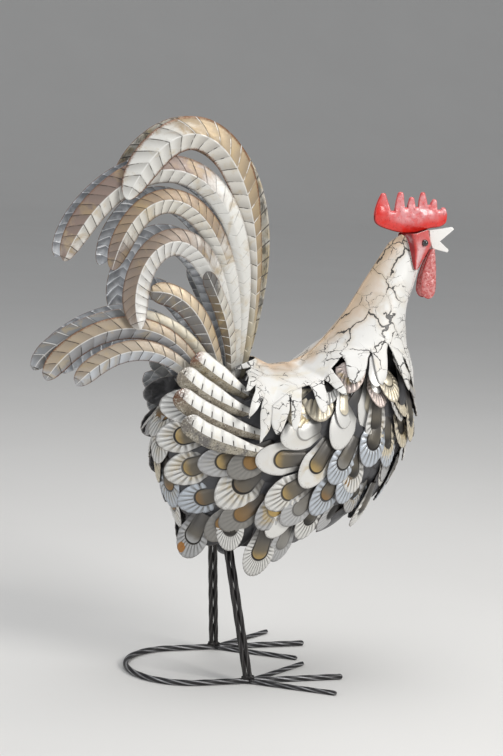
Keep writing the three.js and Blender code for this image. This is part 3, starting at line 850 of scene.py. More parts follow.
# ---------------------------------------------------------------- rods
@dataclass
class TwistedRods:
    """Base, side toes and legs of twisted round bar."""

    run_radius: float = 3.35
    run_half_gap: float = 67.0
    bend_centre: float = -52.0
    toe_radius: float = 2.75
    toe_reach: float = 104.0
    toe_spread: float = 34.0
    leg_radius: float = 2.8
    leg_pitch: float = 5.6
    leg_foot: tuple[float, float, float] = (2, 67, 6.5)
    leg_top: tuple[float, float, float] = (-18, 29, 153)
    flutes: int = 4
    twist: float = 24.0  # millimetres a turn
    groove: float = 0.12  # depth of a groove as a share of the radius
    iron: TwistedIron = TwistedIron()
    leg_iron: TwistedIron = TwistedIron((0.026, 0.024, 0.024), (0.10, 0.095, 0.09))

    def base_point(self, length: float) -> Vector:
        """Centre line of the base: up one run, round the bend, back along the other."""
        run = RUN_FRONT - self.bend_centre
        bend = math.pi * self.run_half_gap
        if length < run:
            return Vector((RUN_FRONT - length, self.run_half_gap, self.run_radius))
        if length > run + bend:
            return Vector((self.bend_centre + length - run - bend, -self.run_half_gap, self.run_radius))
        angle = (length - run) / self.run_half_gap
        x = self.bend_centre - self.run_half_gap * math.sin(angle)
        return Vector((x, self.run_half_gap * math.cos(angle), self.run_radius))

    def add_rod(self, piece: Piece, path: Path, length: float, radius: float) -> None:
        """Adds one twisted bar.

        Args:
            piece: the piece it belongs to.
            path: centre line by length, in millimetres.
            length: the bar's length.
            radius: the bar's radius.
        """

        def crest(u: float, v: float) -> float:
            """How near a point is to a crest of the twist."""
            return 0.5 + 0.5 * math.cos(2 * math.pi * (self.flutes * u + v * length / self.twist))

        def place(u: float, v: float) -> Vector:
            """Point of the surface."""
            here = path(v * length)
            ahead = path(min(length, v * length + 0.5)) - path(max(0.0, v * length - 0.5))
            ahead.normalize()
            level = Vector((0, 0, 1)) if abs(ahead.z) < 0.9 else Vector((1, 0, 0))
            across = ahead.cross(level).normalized()
            turn = 2 * math.pi * u
            end = min(v, 1 - v) * length
            round_end = math.sqrt(min(1.0, max(0.25, end / (0.5 * radius))))
            reach = radius * (1 - self.groove + self.groove * crest(u, v)) * round_end
            point = here + across * (reach * math.cos(turn)) + across.cross(ahead) * (reach * math.sin(turn))
            return frame_point(*point)

        rows = max(8, int(length / 1.2))
        piece.grid(24, rows, place, lambda u, v: (u, v * length / 10), crest=crest)
        piece.weld()
        piece.close()

    def add_bead(self, piece: Piece, centre: Vector, radius: float) -> None:
        """Adds a lump of weld metal where two bars meet."""
        made = bmesh.ops.create_icosphere(piece.mesh, subdivisions=3, radius=radius * MM)["verts"]
        where = frame_point(*centre)
        for vert in made:
            lump = 1 + 0.35 * noise.noise(vert.co * 420 + where * 90)
            vert.co = Vector((vert.co.x * 1.25, vert.co.y, vert.co.z * 0.8)) * lump + where
            for face in vert.link_faces:
                face.smooth = True

    def make_base(self) -> None:
        """Base rod with its U bend."""
        piece = Piece("base_rod_twisted")
        length = 2 * (RUN_FRONT - self.bend_centre) + math.pi * self.run_half_gap
        self.add_rod(piece, self.base_point, length, self.run_radius)
        piece.finish("rod_iron", "base_rod", [self.iron.build("base_iron")])

    def make_toes(self, side: Side) -> None:
        """Two side toes of one foot."""
        angle = math.radians(self.toe_spread)
        for name, outward in (("outer", side.value), ("inner", -side.value)):
            heel = Vector((3, side.value * self.run_half_gap, self.toe_radius))
            ahead = Vector((math.cos(angle), outward * math.sin(angle), 0))
            piece = Piece(f"toe_{name}_{side.label}_twisted")
            self.add_rod(piece, lambda s: heel + ahead * (s + 1), self.toe_reach - 4, self.toe_radius)
            self.add_bead(piece, heel + Vector((3.0, outward * 3.0, 1.0)), 3.0)
            iron = self.iron.build(f"toe_{name}_iron_{side.label}")
            piece.finish("rod_iron", f"toe_{name}_{side.label}", [iron])

    def make_leg(self, side: Side) -> None:
        """Two bars of one leg, side by side."""
        for name, place in (("front", 0.5), ("rear", -0.5)):
            shift = Vector((place * self.leg_pitch, 0, 0))
            foot, top = (side.mirror(Vector(end)) + shift for end in (self.leg_foot, self.leg_top))
            length = (top - foot).length
            piece = Piece(f"leg_{name}_{side.label}_twisted")
            self.add_rod(piece, lambda s: foot.lerp(top, s / length), length, self.leg_radius)
            self.add_bead(piece, foot + Vector((0, 0, 0.5)), 3.6)
            iron = self.leg_iron.build(f"leg_{name}_iron_{side.label}")
            piece.finish("rod_iron", f"leg_{name}_rod_{side.label}", [iron])

    def build(self) -> None:
        """All the bars."""
        self.make_base()
        for side in Side:
            self.make_toes(side)
            self.make_leg(side)


# ---------------------------------------------------------------- ridged blades
@dataclass(frozen=True)
class BladeShape:
    """One V-folded blade: its ridge as a cubic curve and its two flanges' widths."""

    root: tuple[float, float, float]
    rise: tuple[float, float]
    fall: tuple[float, float]
    tip: tuple[float, float, float]
    outer: float
    inner: float
    start: float
    pitch: float = 13.0  # between folds
    outer_root: float = 1.0  # the outer flange keeps this share of its width on the rising part
    flat_root: float = 0.0  # how flat the rising part is hammered

    def ridge(self, side: Side) -> Bezier:
        """The ridge on one side of the bird."""
        near, far = self.root[1], self.tip[1]
        rise = (self.rise[0], lerp(near, far, 1 / 3), self.rise[1])
        fall = (self.fall[0], lerp(near, far, 2 / 3), self.fall[1])
        return Bezier(tuple(side.mirror(Vector(point)) for point in (self.root, rise, fall, self.tip)))

    def width(self, share: float, full: float) -> float:
        """Flange width along the blade: it grows from the root, then rounds off to the tip."""
        grown = lerp(self.start, full, smooth(share, 0.05, 0.6))
        past = max(0.0, (share - 0.86) / 0.14)
        return grown * max(0.10, math.sqrt(max(0.0, 1 - past**2.2)))

    def flange(self, share: float, is_outer: bool) -> float:
        """Width of one of the two flanges along the blade."""
        if is_outer:
            return self.width(share, self.outer) * lerp(self.outer_root, 1.0, smooth(share, 0.36, 0.60))
        return self.width(share, self.inner)


@dataclass
class Blade:
    """Builds a blade's mesh with its slanting folds as real steps in the sheet."""

    shape: BladeShape
    side: Side
    outer_slant: float = 0.85  # how far a fold runs toward the tip for each millimetre outward
    inner_slant: float = 0.45
    step: float = 1.1  # height of a fold
    root_sink: float = 0.0  # how deep the root is tucked in
    fall_back: float = 0.28  # how far the flanges drop behind the ridge
    half_columns: int = 7
    ramp: tuple[float, ...] = (0.0, 0.25, 0.5, 0.75, 0.92)

    def rows(self, length: float) -> list[float]:
        """Fold phases of the mesh rows, from the root to the tip."""
        folds = length / self.shape.pitch
        phases = [whole + part for whole in range(int(folds) + 1) for part in self.ramp]
        return [phase for phase in phases if phase < folds] + [folds]

    def add_to(self, piece: Piece) -> None:
        """Lays the blade in its piece."""
        shape, sign = self.shape, self.side.value
        ridge = shape.ridge(self.side)
        marks = ridge.lengths()
        length = marks[-1]
        phases = self.rows(length)
        last = len(phases) - 1

        def place(u: float, v: float) -> Vector:
            """Point of the surface."""
            phase, across = phases[round(v * last)], 1 - 2 * u
            base = phase * shape.pitch
            slant = self.outer_slant if across > 0 else self.inner_slant
            slack = 1 - smooth(base / length, 0.90, 1.0)
            width = shape.flange(base / length, across > 0)
            run = min(length, base + slant * abs(across) * width * slack)
            width = shape.flange(run / length, across > 0)
            t = parameter_at(marks, run)
            point, tangent = ridge.at(t), ridge.tangent(t)
            outward = Vector((tangent.z, 0, -tangent.x)).normalized()
            relief = 1 - shape.flat_root * (1 - smooth(run / length, 0.28, 0.5))
            lift = self.step * (phase % 1.0) * (0.35 + 0.65 * min(1.0, abs(across) * 2.2))
            fall = self.fall_back * abs(across) * width * 0.86 + 0.10 * width * across * across
            point = point + outward * (across * width)
            point.y += sign * (relief * (lift * 0.8 - fall) - self.root_sink * (1 - smooth(v, 0, 0.22)))
            return frame_point(*point)

        piece.grid(
            2 * self.half_columns,
            last,
            place,
            lambda u, v: (u, phases[round(v * last)]),
            flip=self.side is Side.RIGHT,
            along=lambda u, v: phases[round(v * last)] / phases[-1],
        )

    def build(self, number: int, names: tuple[str, str], slot: str, materials: list[bpy.types.Material]) -> None:
        """Makes the blade's piece.

        Args:
            number: the blade's number, from 1.
            names: what the piece and its CAD node are called before the number.
            slot: the record's material slot.
            materials: front and back.
        """
        name, node = names
        piece = Piece(f"{name}_{number}_{self.side.label}_folded")
        self.add_to(piece)
        piece.sharpen(CREASE)
        piece.finish(slot, f"{node}_{number}_{self.side.label}", materials, SHEET)


@dataclass
class TailPlumes:
    """Nine arching plumes a side."""

    shapes: tuple[BladeShape, ...] = (
        BladeShape((-4, 6, 333), (44, 552), (-75, 696), (-149, 27, 530), 19, 17, 5, 16, 0.5),
        BladeShape((-14, 12, 333), (27, 601), (-149, 621), (-214, 22, 462), 16, 14, 5.5, 13.5, 1, 0.6),
        BladeShape((-17, 17, 332), (-5, 537), (-131, 593), (-163, 30, 454), 12, 14.5, 5.5, 11, 1, 0.7),
        BladeShape((-21, 22, 331), (-40, 574), (-166, 482), (-133, 44, 392), 14, 15.5, 5.5, 10.5, 1, 0.7),
        BladeShape((-21, 26, 333), (-27, 376), (-22, 389), (-59, 34, 455), 9, 9, 4.5, 10),
        BladeShape((-33, 30, 330), (-62, 451), (-116, 428), (-120, 28, 432), 11, 14, 5, 12),
        BladeShape((-38, 33.5, 328), (-96, 465), (-239, 375), (-243, 27, 345), 11.5, 14, 5, 17),
        BladeShape((-52, 37, 326), (-96, 425), (-195, 400), (-232, 37, 336), 13, 12, 7, 16),
        BladeShape((-56, 41, 319), (-81, 361), (-138, 400), (-201, 46, 332), 12, 11, 6.5, 13),
    )
    left_changes: dict[int, dict[str, object]] = field(
        default_factory=lambda: {
            1: {"rise": (64, 548), "outer_root": 1.0},
            7: {"fall": (-222, 371), "tip": (-227, 27, 341)},
            8: {"fall": (-183, 404), "tip": (-216, 37, 343)},
        }
    )
    paints: tuple[PlumePaint, ...] = (
        PlumePaint((0.42, 0.32, 0.20), (0.70, 0.67, 0.61), (0.50, 0.45, 0.34), CHALK, 0.10, 0.70, 0.9, 0.3, FOLD_HIGHLIGHT),
        PlumePaint((0.27, 0.20, 0.17), (0.72, 0.70, 0.65), CHALK, (0.40, 0.33, 0.28), 0.42, 0.92, 0.4, 0.45),
        PlumePaint((0.34, 0.25, 0.17), (0.72, 0.69, 0.62), CHALK, (0.24, 0.19, 0.165), 0.34, 0.84, 0.5, 0.45),
        PlumePaint((0.27, 0.21, 0.165), (0.74, 0.73, 0.70), CHALK, (0.60, 0.58, 0.54), 0.36, 0.92, 0.3, 0.45),
        PlumePaint((0.66, 0.63, 0.56), (0.17, 0.13, 0.08), CHALK, (0.15, 0.145, 0.14), 0, 0.72, 0.3, 0.6, SHADE, FOLD_HIGHLIGHT),
        PlumePaint((0.56, 0.45, 0.31), (0.20, 0.19, 0.18), (0.54, 0.51, 0.44), TAN, 0.06, 0.95, 0.5, 0.45, SHADE, FOLD_HIGHLIGHT),
        PlumePaint((0.24, 0.25, 0.26), (0.27, 0.26, 0.25), (0.48, 0.44, 0.35), STEEL, 0.38, 0.9, 0.3, 0.4, FOLD_HIGHLIGHT, FOLD_HIGHLIGHT),
        PlumePaint((0.42, 0.34, 0.25), (0.33, 0.33, 0.34), (0.50, 0.47, 0.40), STEEL, -0.1, 0.9, 0.85, 0.4),
        PlumePaint((0.42, 0.35, 0.27), (0.52, 0.54, 0.57), (0.56, 0.52, 0.44), STEEL, 0.15, 0.9, 0.5, 0.5),
    )
    steel: BareSteel = BareSteel()

    def shape_on(self, number: int, side: Side) -> BladeShape:
        """Shape of a plume, by its number from 1; three left ones are bent a little otherwise."""
        shape = self.shapes[number - 1]
        return shape if side is Side.RIGHT else replace(shape, **self.left_changes.get(number, {}))

    def build(self) -> None:
        """All the plumes."""
        steel, bark = self.steel.build("plume_back_steel"), BarkPaint().build("plume_back_bark")
        for number, paint in enumerate(self.paints, 1):
            front = paint.build(f"plume_{number}_paint")
            for side in Side:
                back = bark if number == 1 and side is Side.LEFT else steel
                blade = Blade(self.shape_on(number, side), side)
                blade.build(number, ("plume", "tail_plume"), "plume_paint", [front, back])


@dataclass
class WingFeathers:
    """Four ridged blades a side, over the flank."""

    shapes: tuple[BladeShape, ...] = (
        BladeShape((-8, 57, 321), (-30, 333), (-54, 347), (-74, 53, 365), 13, 12, 6, 13),
        BladeShape((-8, 70, 303), (-39, 314), (-68, 326), (-90, 60, 350), 13.5, 12, 6, 13),
        BladeShape((5, 77.5, 280), (-37, 292), (-71, 303), (-96, 67, 328), 13, 12, 6, 13),
        BladeShape((5, 84.5, 262), (-32, 272), (-67, 277), (-87, 74, 301), 13, 12, 6, 13),
    )
    paints: tuple[WingPaint, ...] = (
        WingPaint((0.32, 0.26, 0.16), (0.17, 0.07, 0.04)),
        WingPaint((0.27, 0.23, 0.17), (0.20, 0.17, 0.14)),
        WingPaint((0.22, 0.18, 0.13), (0.12, 0.045, 0.02)),
        WingPaint((0.17, 0.16, 0.15), (0.16, 0.14, 0.12)),
    )
    steel: BareSteel = BareSteel()

    def build(self) -> None:
        """All the wing feathers."""
        back = self.steel.build("wing_back_steel")
        for number, (shape, paint) in enumerate(zip(self.shapes, self.paints), 1):
            front = paint.build(f"wing_{number}_paint")
            for side in Side:
                blade = Blade(shape, side, outer_slant=0.35, inner_slant=0.35, step=0.5, root_sink=6.0)
                blade.build(number, ("wing", "wing_feather"), "wing_paint", [front, back])


# ---------------------------------------------------------------- stamped feathers
class Tone(Enum):
    """Paint tones of the stamped feathers."""

    WHITE = (0.75, 0.74, 0.71)
    CREAM = (0.70, 0.63, 0.49)
    GREY = (0.48, 0.48, 0.48)
    BLUE = (0.52, 0.56, 0.61)
    PINK = (0.62, 0.52, 0.48)
    GOLD = (0.48, 0.33, 0.12)
    BROWN = (0.27, 0.155, 0.055)
    BLACK = (0.02, 0.018, 0.016)
    SMOKE = (0.26, 0.25, 0.23)
    # near-black tone of feathers that stand for the shade between the others
    DARK = (0.070, 0.070, 0.075)


@dataclass(frozen=True)
class FeatherSpot:
    """Where one stamped feather's tip lies on the bird's side, and how it is painted."""

    row: int  # 0 is the breast, under the fringe
    x: float
    z: float
    heading: float  # degrees from straight down toward the tail
    width: float
    rim: Tone
    eye: Tone
    fluted: float = 1.0
    ring: float = 1.0
    gold: float = 0.0
    turned: float = 0.0  # share by which it is bent out to face sideways
    flutes: int = 16
    stamped_spot: bool = False  # an orange-brown oval near the tip


FLUTED, HALF, PLAIN = 1.0, 0.5, 0.0

WHITE, CREAM, GREY, BLUE, PINK, GOLD, BROWN, BLACK, SMOKE, DARK = Tone
SIDE_FEATHERS: tuple[FeatherSpot, ...] = tuple(
    FeatherSpot(*row)
    for row in (
        (0, 64, 297, 8, 44, CREAM, SMOKE, FLUTED, 0, 0.1),
        (0, 76, 314, 0, 26, WHITE, BLACK, FLUTED, 0.5),
        (0, 100, 327, 4, 34, PINK, SMOKE, FLUTED, 0, 0.6),
        (0, 140, 311, 2, 27, PINK, WHITE, FLUTED, 0.4, 0.2),
        (0, 130, 335, 8, 17, WHITE, WHITE, PLAIN, 0),
        (0, 176, 297, -6, 26, CREAM, BLACK, FLUTED, 0.9, 0.2),
        (0, 28, 298, 60, 36, CREAM, CREAM, HALF, 0.2, 0.5),
        (1, 94, 289, 12, 25, WHITE, CREAM, PLAIN, 0.5),
        (1, -104, 308, 85, 39, WHITE, SMOKE, FLUTED, 0, 0),
        (2, -107, 270, 77, 37, WHITE, GOLD, FLUTED, 1, 0.25),
        (3, -95, 230, 69, 39, WHITE, GOLD, FLUTED, 0.8, 0.35),
        (4, -78, 197, 71, 37, BLUE, BROWN, FLUTED, 0.9, 0),
        (3, -41, 201, 46, 46, WHITE, BROWN, FLUTED, 1, 0.35),
        (2, -65, 246, 80, 35, GREY, GOLD, HALF, 0.9, 0.1),
        (5, -66, 135, 27, 36, GREY, GREY, FLUTED, 1, 0, 0, 20, True),
        (5, -24, 149, 2, 31, WHITE, BLACK, FLUTED, 0.9, 0, 0, 26),
        (5, 3, 120, 14, 36, WHITE, GOLD, FLUTED, 1, 0, 0, 28),
        (4, 3, 177, 40, 34, GREY, GOLD, FLUTED, 0.5, 0.5),
        (5, 16, 166, 34, 28, WHITE, GREY, PLAIN, 0),
        (3, 8, 204, 61, 38, WHITE, GOLD, FLUTED, 0.9, 0.1),
        (2, -7, 256, 90, 38, WHITE, GOLD, PLAIN, 0.9, 0.1),
        (1, 19, 277, 71, 38, WHITE, WHITE, PLAIN, 0.5, 0.1),
        (2, 48, 225, 36, 36, WHITE, GOLD, PLAIN, 1, 0.4),
        (2, 82, 228, 34, 34, BLUE, SMOKE, FLUTED, 1),
        (1, 86, 266, 23, 36, WHITE, WHITE, PLAIN, 0),
        (1, 128, 282, 8, 36, WHITE, CREAM, PLAIN, 0.3, 0, 0.45),
        (2, 127, 244, 19, 36, BLUE, BLACK, FLUTED, 1, 0, 0.3),
        (1, 179, 261, -8, 28, CREAM, BLACK, FLUTED, 0.9, 0.4),
        (3, 125, 191, 14, 26, BLUE, SMOKE, FLUTED, 0.4),
        (2, 161, 220, 5, 27, GREY, SMOKE, HALF, 0.3),
        (3, 64, 192, 35, 36, BLUE, BROWN, FLUTED, 0.9),
        (4, 54, 162, 20, 34, WHITE, BLACK, FLUTED, 1),
        (4, 78, 170, 40, 30, GREY, BLACK, HALF, 0.5),
        (5, 30, 134, 10, 30, GREY, SMOKE, HALF, 0.5),
        (2, 156, 248, 2, 28, CREAM, BLACK, FLUTED, 0.7, 0.2),
        (3, 96, 204, 26, 32, BLUE, BROWN, FLUTED, 0.7),
        (4, 28, 183, 52, 32, GREY, SMOKE, HALF, 0.6),
        (4, -36, 176, 55, 34, SMOKE, BROWN, HALF, 0.6),
        (5, -46, 160, 40, 30, SMOKE, BROWN, HALF, 0.5),
        (2, -34, 238, 60, 34, SMOKE, BROWN, HALF, 0.5),
        # an all-dark feather that stands for shade
        (1, -60, 282, 80, 36, DARK, DARK, HALF, 0),
    )
)


@dataclass
class StampedFeather:
    """One stamped feather: domed, with an embossed eye and flutes round its end."""

    spot: FeatherSpot
    side: Side
    length: float = 60.0
    proud: float = 2.5  # the sheet stands this much off the body form where it is held
    sink: float = 8.0  # the root lies this much under it
    held: float = 0.55  # the body form is met this share of the length up from the tip
    hug: float = 150.0  # radius the sheet is bent to along its length
    wrap: float = 75.0  # and across
    detail: int = 4  # mesh columns to a flute
    rings: int = 10
    straight: float = 0.22  # share of the outline that runs along each straight side
    round_end: float = 1.70  # the round end is this many half widths long
    eye_width: float = 0.54  # of the eye, as a share of the feather's
    full_length: float = 60.0  # of the longer feathers

    def outline(self, u: float) -> tuple[Vector, Vector, Vector]:
        """Middle line, edge of the eye and rim of the feather.

        Args:
            u: 0 at the root's one side, 0.5 at the tip, 1 at the root's other side.

        Returns:
            The three points, each as across and along, with along counted from the tip.
        """
        half, arc = self.spot.width / 2, self.straight
        centre, eye = self.round_end * half, self.eye_width * half
        if arc <= u <= 1 - arc:
            turn = math.pi * ((u - arc) / (1 - 2 * arc) - 0.5)
            side, ahead = math.sin(turn), math.cos(turn)
            return (
                Vector((0, centre)),
                Vector((eye * side, centre - eye * ahead)),
                Vector((half * side, centre - centre * ahead)),
            )
        back = (arc - u) / arc if u < arc else (u - 1 + arc) / arc
        run, side = lerp(centre, self.length, back), -1 if u < 0.5 else 1
        return (
            Vector((0, run)),
            Vector((side * eye * lerp(1.0, 0.75, back), run)),
            Vector((side * half * lerp(1.0, 0.62, back), run - 2 * smooth(back, 0, 0.4))),
        )

    def spread(self, u: float, v: float) -> Vector:
        """Point of the flat feather, across and along, from its middle line (v = 0) to its rim."""
        middle, eye, rim = self.outline(u)
        if v < EYE_EDGE:
            return middle.lerp(eye, v / EYE_EDGE)
        return eye.lerp(rim, (v - EYE_EDGE) / (1 - EYE_EDGE))

    def height(self, u: float, v: float) -> float:
        """Relief of the sheet: domed eye, ring groove and flutes."""
        look = self.spot
        eye = 1.7 * max(0.0, 1 - (v / EYE_EDGE) ** 2) if look.ring > 0.1 else 0.9 * (1 - v)
        groove = 0.8 * look.ring * math.exp(-(((v - EYE_EDGE) / 0.05) ** 2))
        wave = 0.5 + 0.5 * math.cos(2 * math.pi * look.flutes * u)
        flute = 1.25 * look.fluted * wave * smooth(v, EYE_EDGE, 0.5) * (1 - 0.5 * smooth(v, 0.8, 1.0))
        flute *= smooth(min(u, 1 - u), 0.12, 0.22)
        return eye - groove + flute

    def body_frame(self) -> tuple[Vector, Vector, Vector, Vector]:
        """Tip point, direction of the tip, direction across and outward direction.

        A feather is straight and touches the body form only where it is held, so its tip stands clear.
        """
        spot, mirror = self.spot, self.side.mirror
        form, ceiling = (UPPER, 345.0) if spot.x > 40 else (BREAST, 300.0)
        heading = math.radians(spot.heading)
        held = self.held * self.length
        middle_z = min(max(spot.z + held * math.cos(heading), 136), ceiling)
        above = form.on(form.turn_of(spot.x, max(spot.z, 130)), middle_z)
        turn = form.turn_of(above.x + held * math.sin(heading), middle_z)
        outward = form.normal(turn, middle_z).lerp(Vector((0, 1, 0)), spot.turned).normalized()
        down = Vector((0, 0, -1))
        down = (down - outward * down.dot(outward)).normalized()
        tailward = outward.cross(down)
        if tailward.x > 0 and abs(outward.y) > 0.35:
            tailward = -tailward
        ahead = down * math.cos(heading) + tailward * math.sin(heading)
        across = ahead.cross(outward)
        tip = form.on(turn, middle_z, self.proud) + ahead * held
        if abs(outward.y) > 0.6:
            tip = Vector((spot.x, max(0.0, tip.y), spot.z))
        return mirror(tip), mirror(ahead), mirror(across), mirror(outward)

    def add_to(self, piece: Piece, layer: float) -> None:
        """Lays the feather in its row.

        Args:
            piece: the row's piece.
            layer: further lift of this feather over its neighbours.
        """
        tip, ahead, across, outward = self.body_frame()

        def place(u: float, v: float) -> Vector:
            """Point of the surface."""
            side, run = self.spread(u, v)
            lift = layer - (self.proud + self.sink) * (run / self.length - 0.3) + self.height(u, v)
            lift -= side * side / (2 * self.wrap) + (run - 0.4 * self.length) ** 2 / (2 * self.hug)
            return frame_point(*(tip - ahead * run + across * side + outward * lift))

        def stamp(u: float, v: float) -> float:
            """Above 0 inside the painted oval."""
            if not self.spot.stamped_spot:
                return -1.0
            side, run = self.spread(u, v)
            return 1 - math.hypot((side - 6.5 * self.side.value) / 5.0, (run - 9.5) / 7.0)

        look = self.spot
        piece.grid(
            self.detail * look.flutes,
            self.rings,
            place,
            lambda u, v: (u * look.flutes, v),
            flip=self.side is Side.RIGHT,
            colours={"rim": look.rim.value, "eye": look.eye.value, "look": (look.fluted, look.ring, look.gold)},
            spot=stamp,
            root=lambda u, v: self.spread(u, v).y / self.full_length,
        )


@dataclass
class BodyFeathers:
    """Every stamped feather, in one piece to each row of the CAD frame."""

    rows: int = 6
    jitter: float = 3.0
    under_heights: tuple[float, ...] = (296, 276, 256, 236, 214, 192, 170, 150)
    under_pitch: float = 29.0
    seam_heights: tuple[float, ...] = (360, 338, 316, 292, 266, 240, 214, 188, 162)
    seam_pitch: float = 16.0
    breast_width: float = 31.0  # of the middle feathers over the breast, and so on
    rump_width: float = 35.0
    under_width: float = 38.0
    under_flutes: int = 14
    cape_foot: float = 345.0  # above this only the middle breast feather clears the cape
    layer: float = 0.9  # lift of a feather over its neighbour
    sheet: float = 0.8
    paint: FeatherPaint = FeatherPaint()
    steel: ShellSteel = ShellSteel((0.12, 0.12, 0.125), (0.30, 0.30, 0.31))

    def left_spots(self, chance: random.Random) -> list[FeatherSpot]:
        """The left side's feathers: the right's, each a little off and in another tone."""
        rims = [spot.rim for spot in SIDE_FEATHERS if spot.row > 0]
        spots = []
        for spot in SIDE_FEATHERS:
            rim = chance.choice(rims) if spot.row > 0 else spot.rim
            x, z = (place + chance.uniform(-1, 1) * self.jitter for place in (spot.x, spot.z))
            spots.append(replace(spot, rim=rim, x=x, z=z, heading=spot.heading + chance.uniform(-8, 8)))
        return spots

    def seam_spots(self) -> list[tuple[Side, FeatherSpot]]:
        """Feathers over breast and rump, where the sides meet; those in the middle go to each side in turn."""
        tones = (WHITE, CREAM, BLUE, WHITE, GREY)
        spots = []
        for number, z in enumerate(self.seam_heights):
            row, half = min(5, max(0, number - 2)), UPPER.section(z).half
            for step in range(2 + (number % 2 == 0)):
                y = self.seam_pitch * (2 * step + number % 2)
                if z > self.cape_foot and step:
                    continue
                turn = math.asin(min(0.9, y / half))
                tone = tones[(number + 2 * step) % 5]
                eye = tone if z > 300 else BLACK
                x, width = UPPER.on(turn, z).x, self.breast_width
                found = [FeatherSpot(row, x, z, 0, width, tone, eye, FLUTED, 0.8, 0.2)]
                if 0 < row and y < 30:
                    x = BREAST.on(math.pi - turn, z).x
                    found.append(FeatherSpot(row, x, z, 30 * step, self.rump_width, tone, BROWN, FLUTED, 0.8, 0.2))
                sides = tuple(Side) if y else (Side.LEFT if number % 4 else Side.RIGHT,)
                spots.extend((side, spot) for side in sides for spot in found)
        return spots

    def under_layer(self, chance: random.Random) -> list[FeatherSpot]:
        """Plain dark feathers under the others, filling the gaps between them: painted shade between the feathers."""
        spots = []
        for number, z in enumerate(self.under_heights):
            at = BREAST.section(z)
            row = min(5, 1 + number * 5 // len(self.under_heights))
            half_round = math.pi * (at.half + (at.front - at.back) / 2) / 2
            count = max(3, round(half_round / self.under_pitch))
            for place in range(count):
                turn = math.pi * (place + 0.25 + 0.5 * (number % 2)) / count
                x = BREAST.on(turn, z).x
                heading = 80 * smooth(x, 190, -20) * lerp(0.25, 1, smooth(z, 130, 205))
                heading += chance.uniform(-6, 6)
                look = (self.under_width, DARK, DARK, 0.15, 0)
                spots.append(FeatherSpot(row, x, z, heading, *look, flutes=self.under_flutes))
        return spots

    def build(self) -> None:
        """All the rows on both sides."""
        chance = random.Random(SEED)
        by_side = {Side.RIGHT: list(SIDE_FEATHERS), Side.LEFT: self.left_spots(chance)}
        for side, spot in self.seam_spots():
            by_side[side].append(spot)
        under = {side: self.under_layer(chance) for side in Side}
        front = self.paint.build("stamped_feather_paint")
        back = self.steel.build("feather_back_steel")
        for side, spots in by_side.items():
            for row in range(self.rows):
                piece = Piece(f"feathers_{row}_{side.label}_stamped")
                for spot in (spot for spot in under[side] if spot.row == row):
                    feather = StampedFeather(spot, side, proud=-6.5, sink=6.0, hug=80.0, wrap=46.0, detail=3)
                    feather.add_to(piece, 0.0)
                for number, spot in enumerate(spot for spot in spots if spot.row == row):
                    if row == 0:
                        feather = StampedFeather(spot, side, 36.0, proud=0.0, sink=11.0, held=0.8)
                    else:
                        feather = StampedFeather(spot, side, sink=14.0 if row == 1 else 5.5)
                    feather.add_to(piece, self.layer * (number % 3) - self.layer)
                piece.weld(0.03)
                node = f"body_feathers_row_{row}" if row else "breast_feathers"
                piece.finish("feather_paint", f"{node}_{side.label}", [front, back], self.sheet)


# ---------------------------------------------------------------- cape
@dataclass(frozen=True)
class Finger:
    """One finger of the cape's fringe: its tip and the two ends of its base, front first."""

    tip: tuple[float, float]
    front: tuple[float, float]
    rear: tuple[float, float]
    swell: float = 0.0  # how much wider it grows half way down


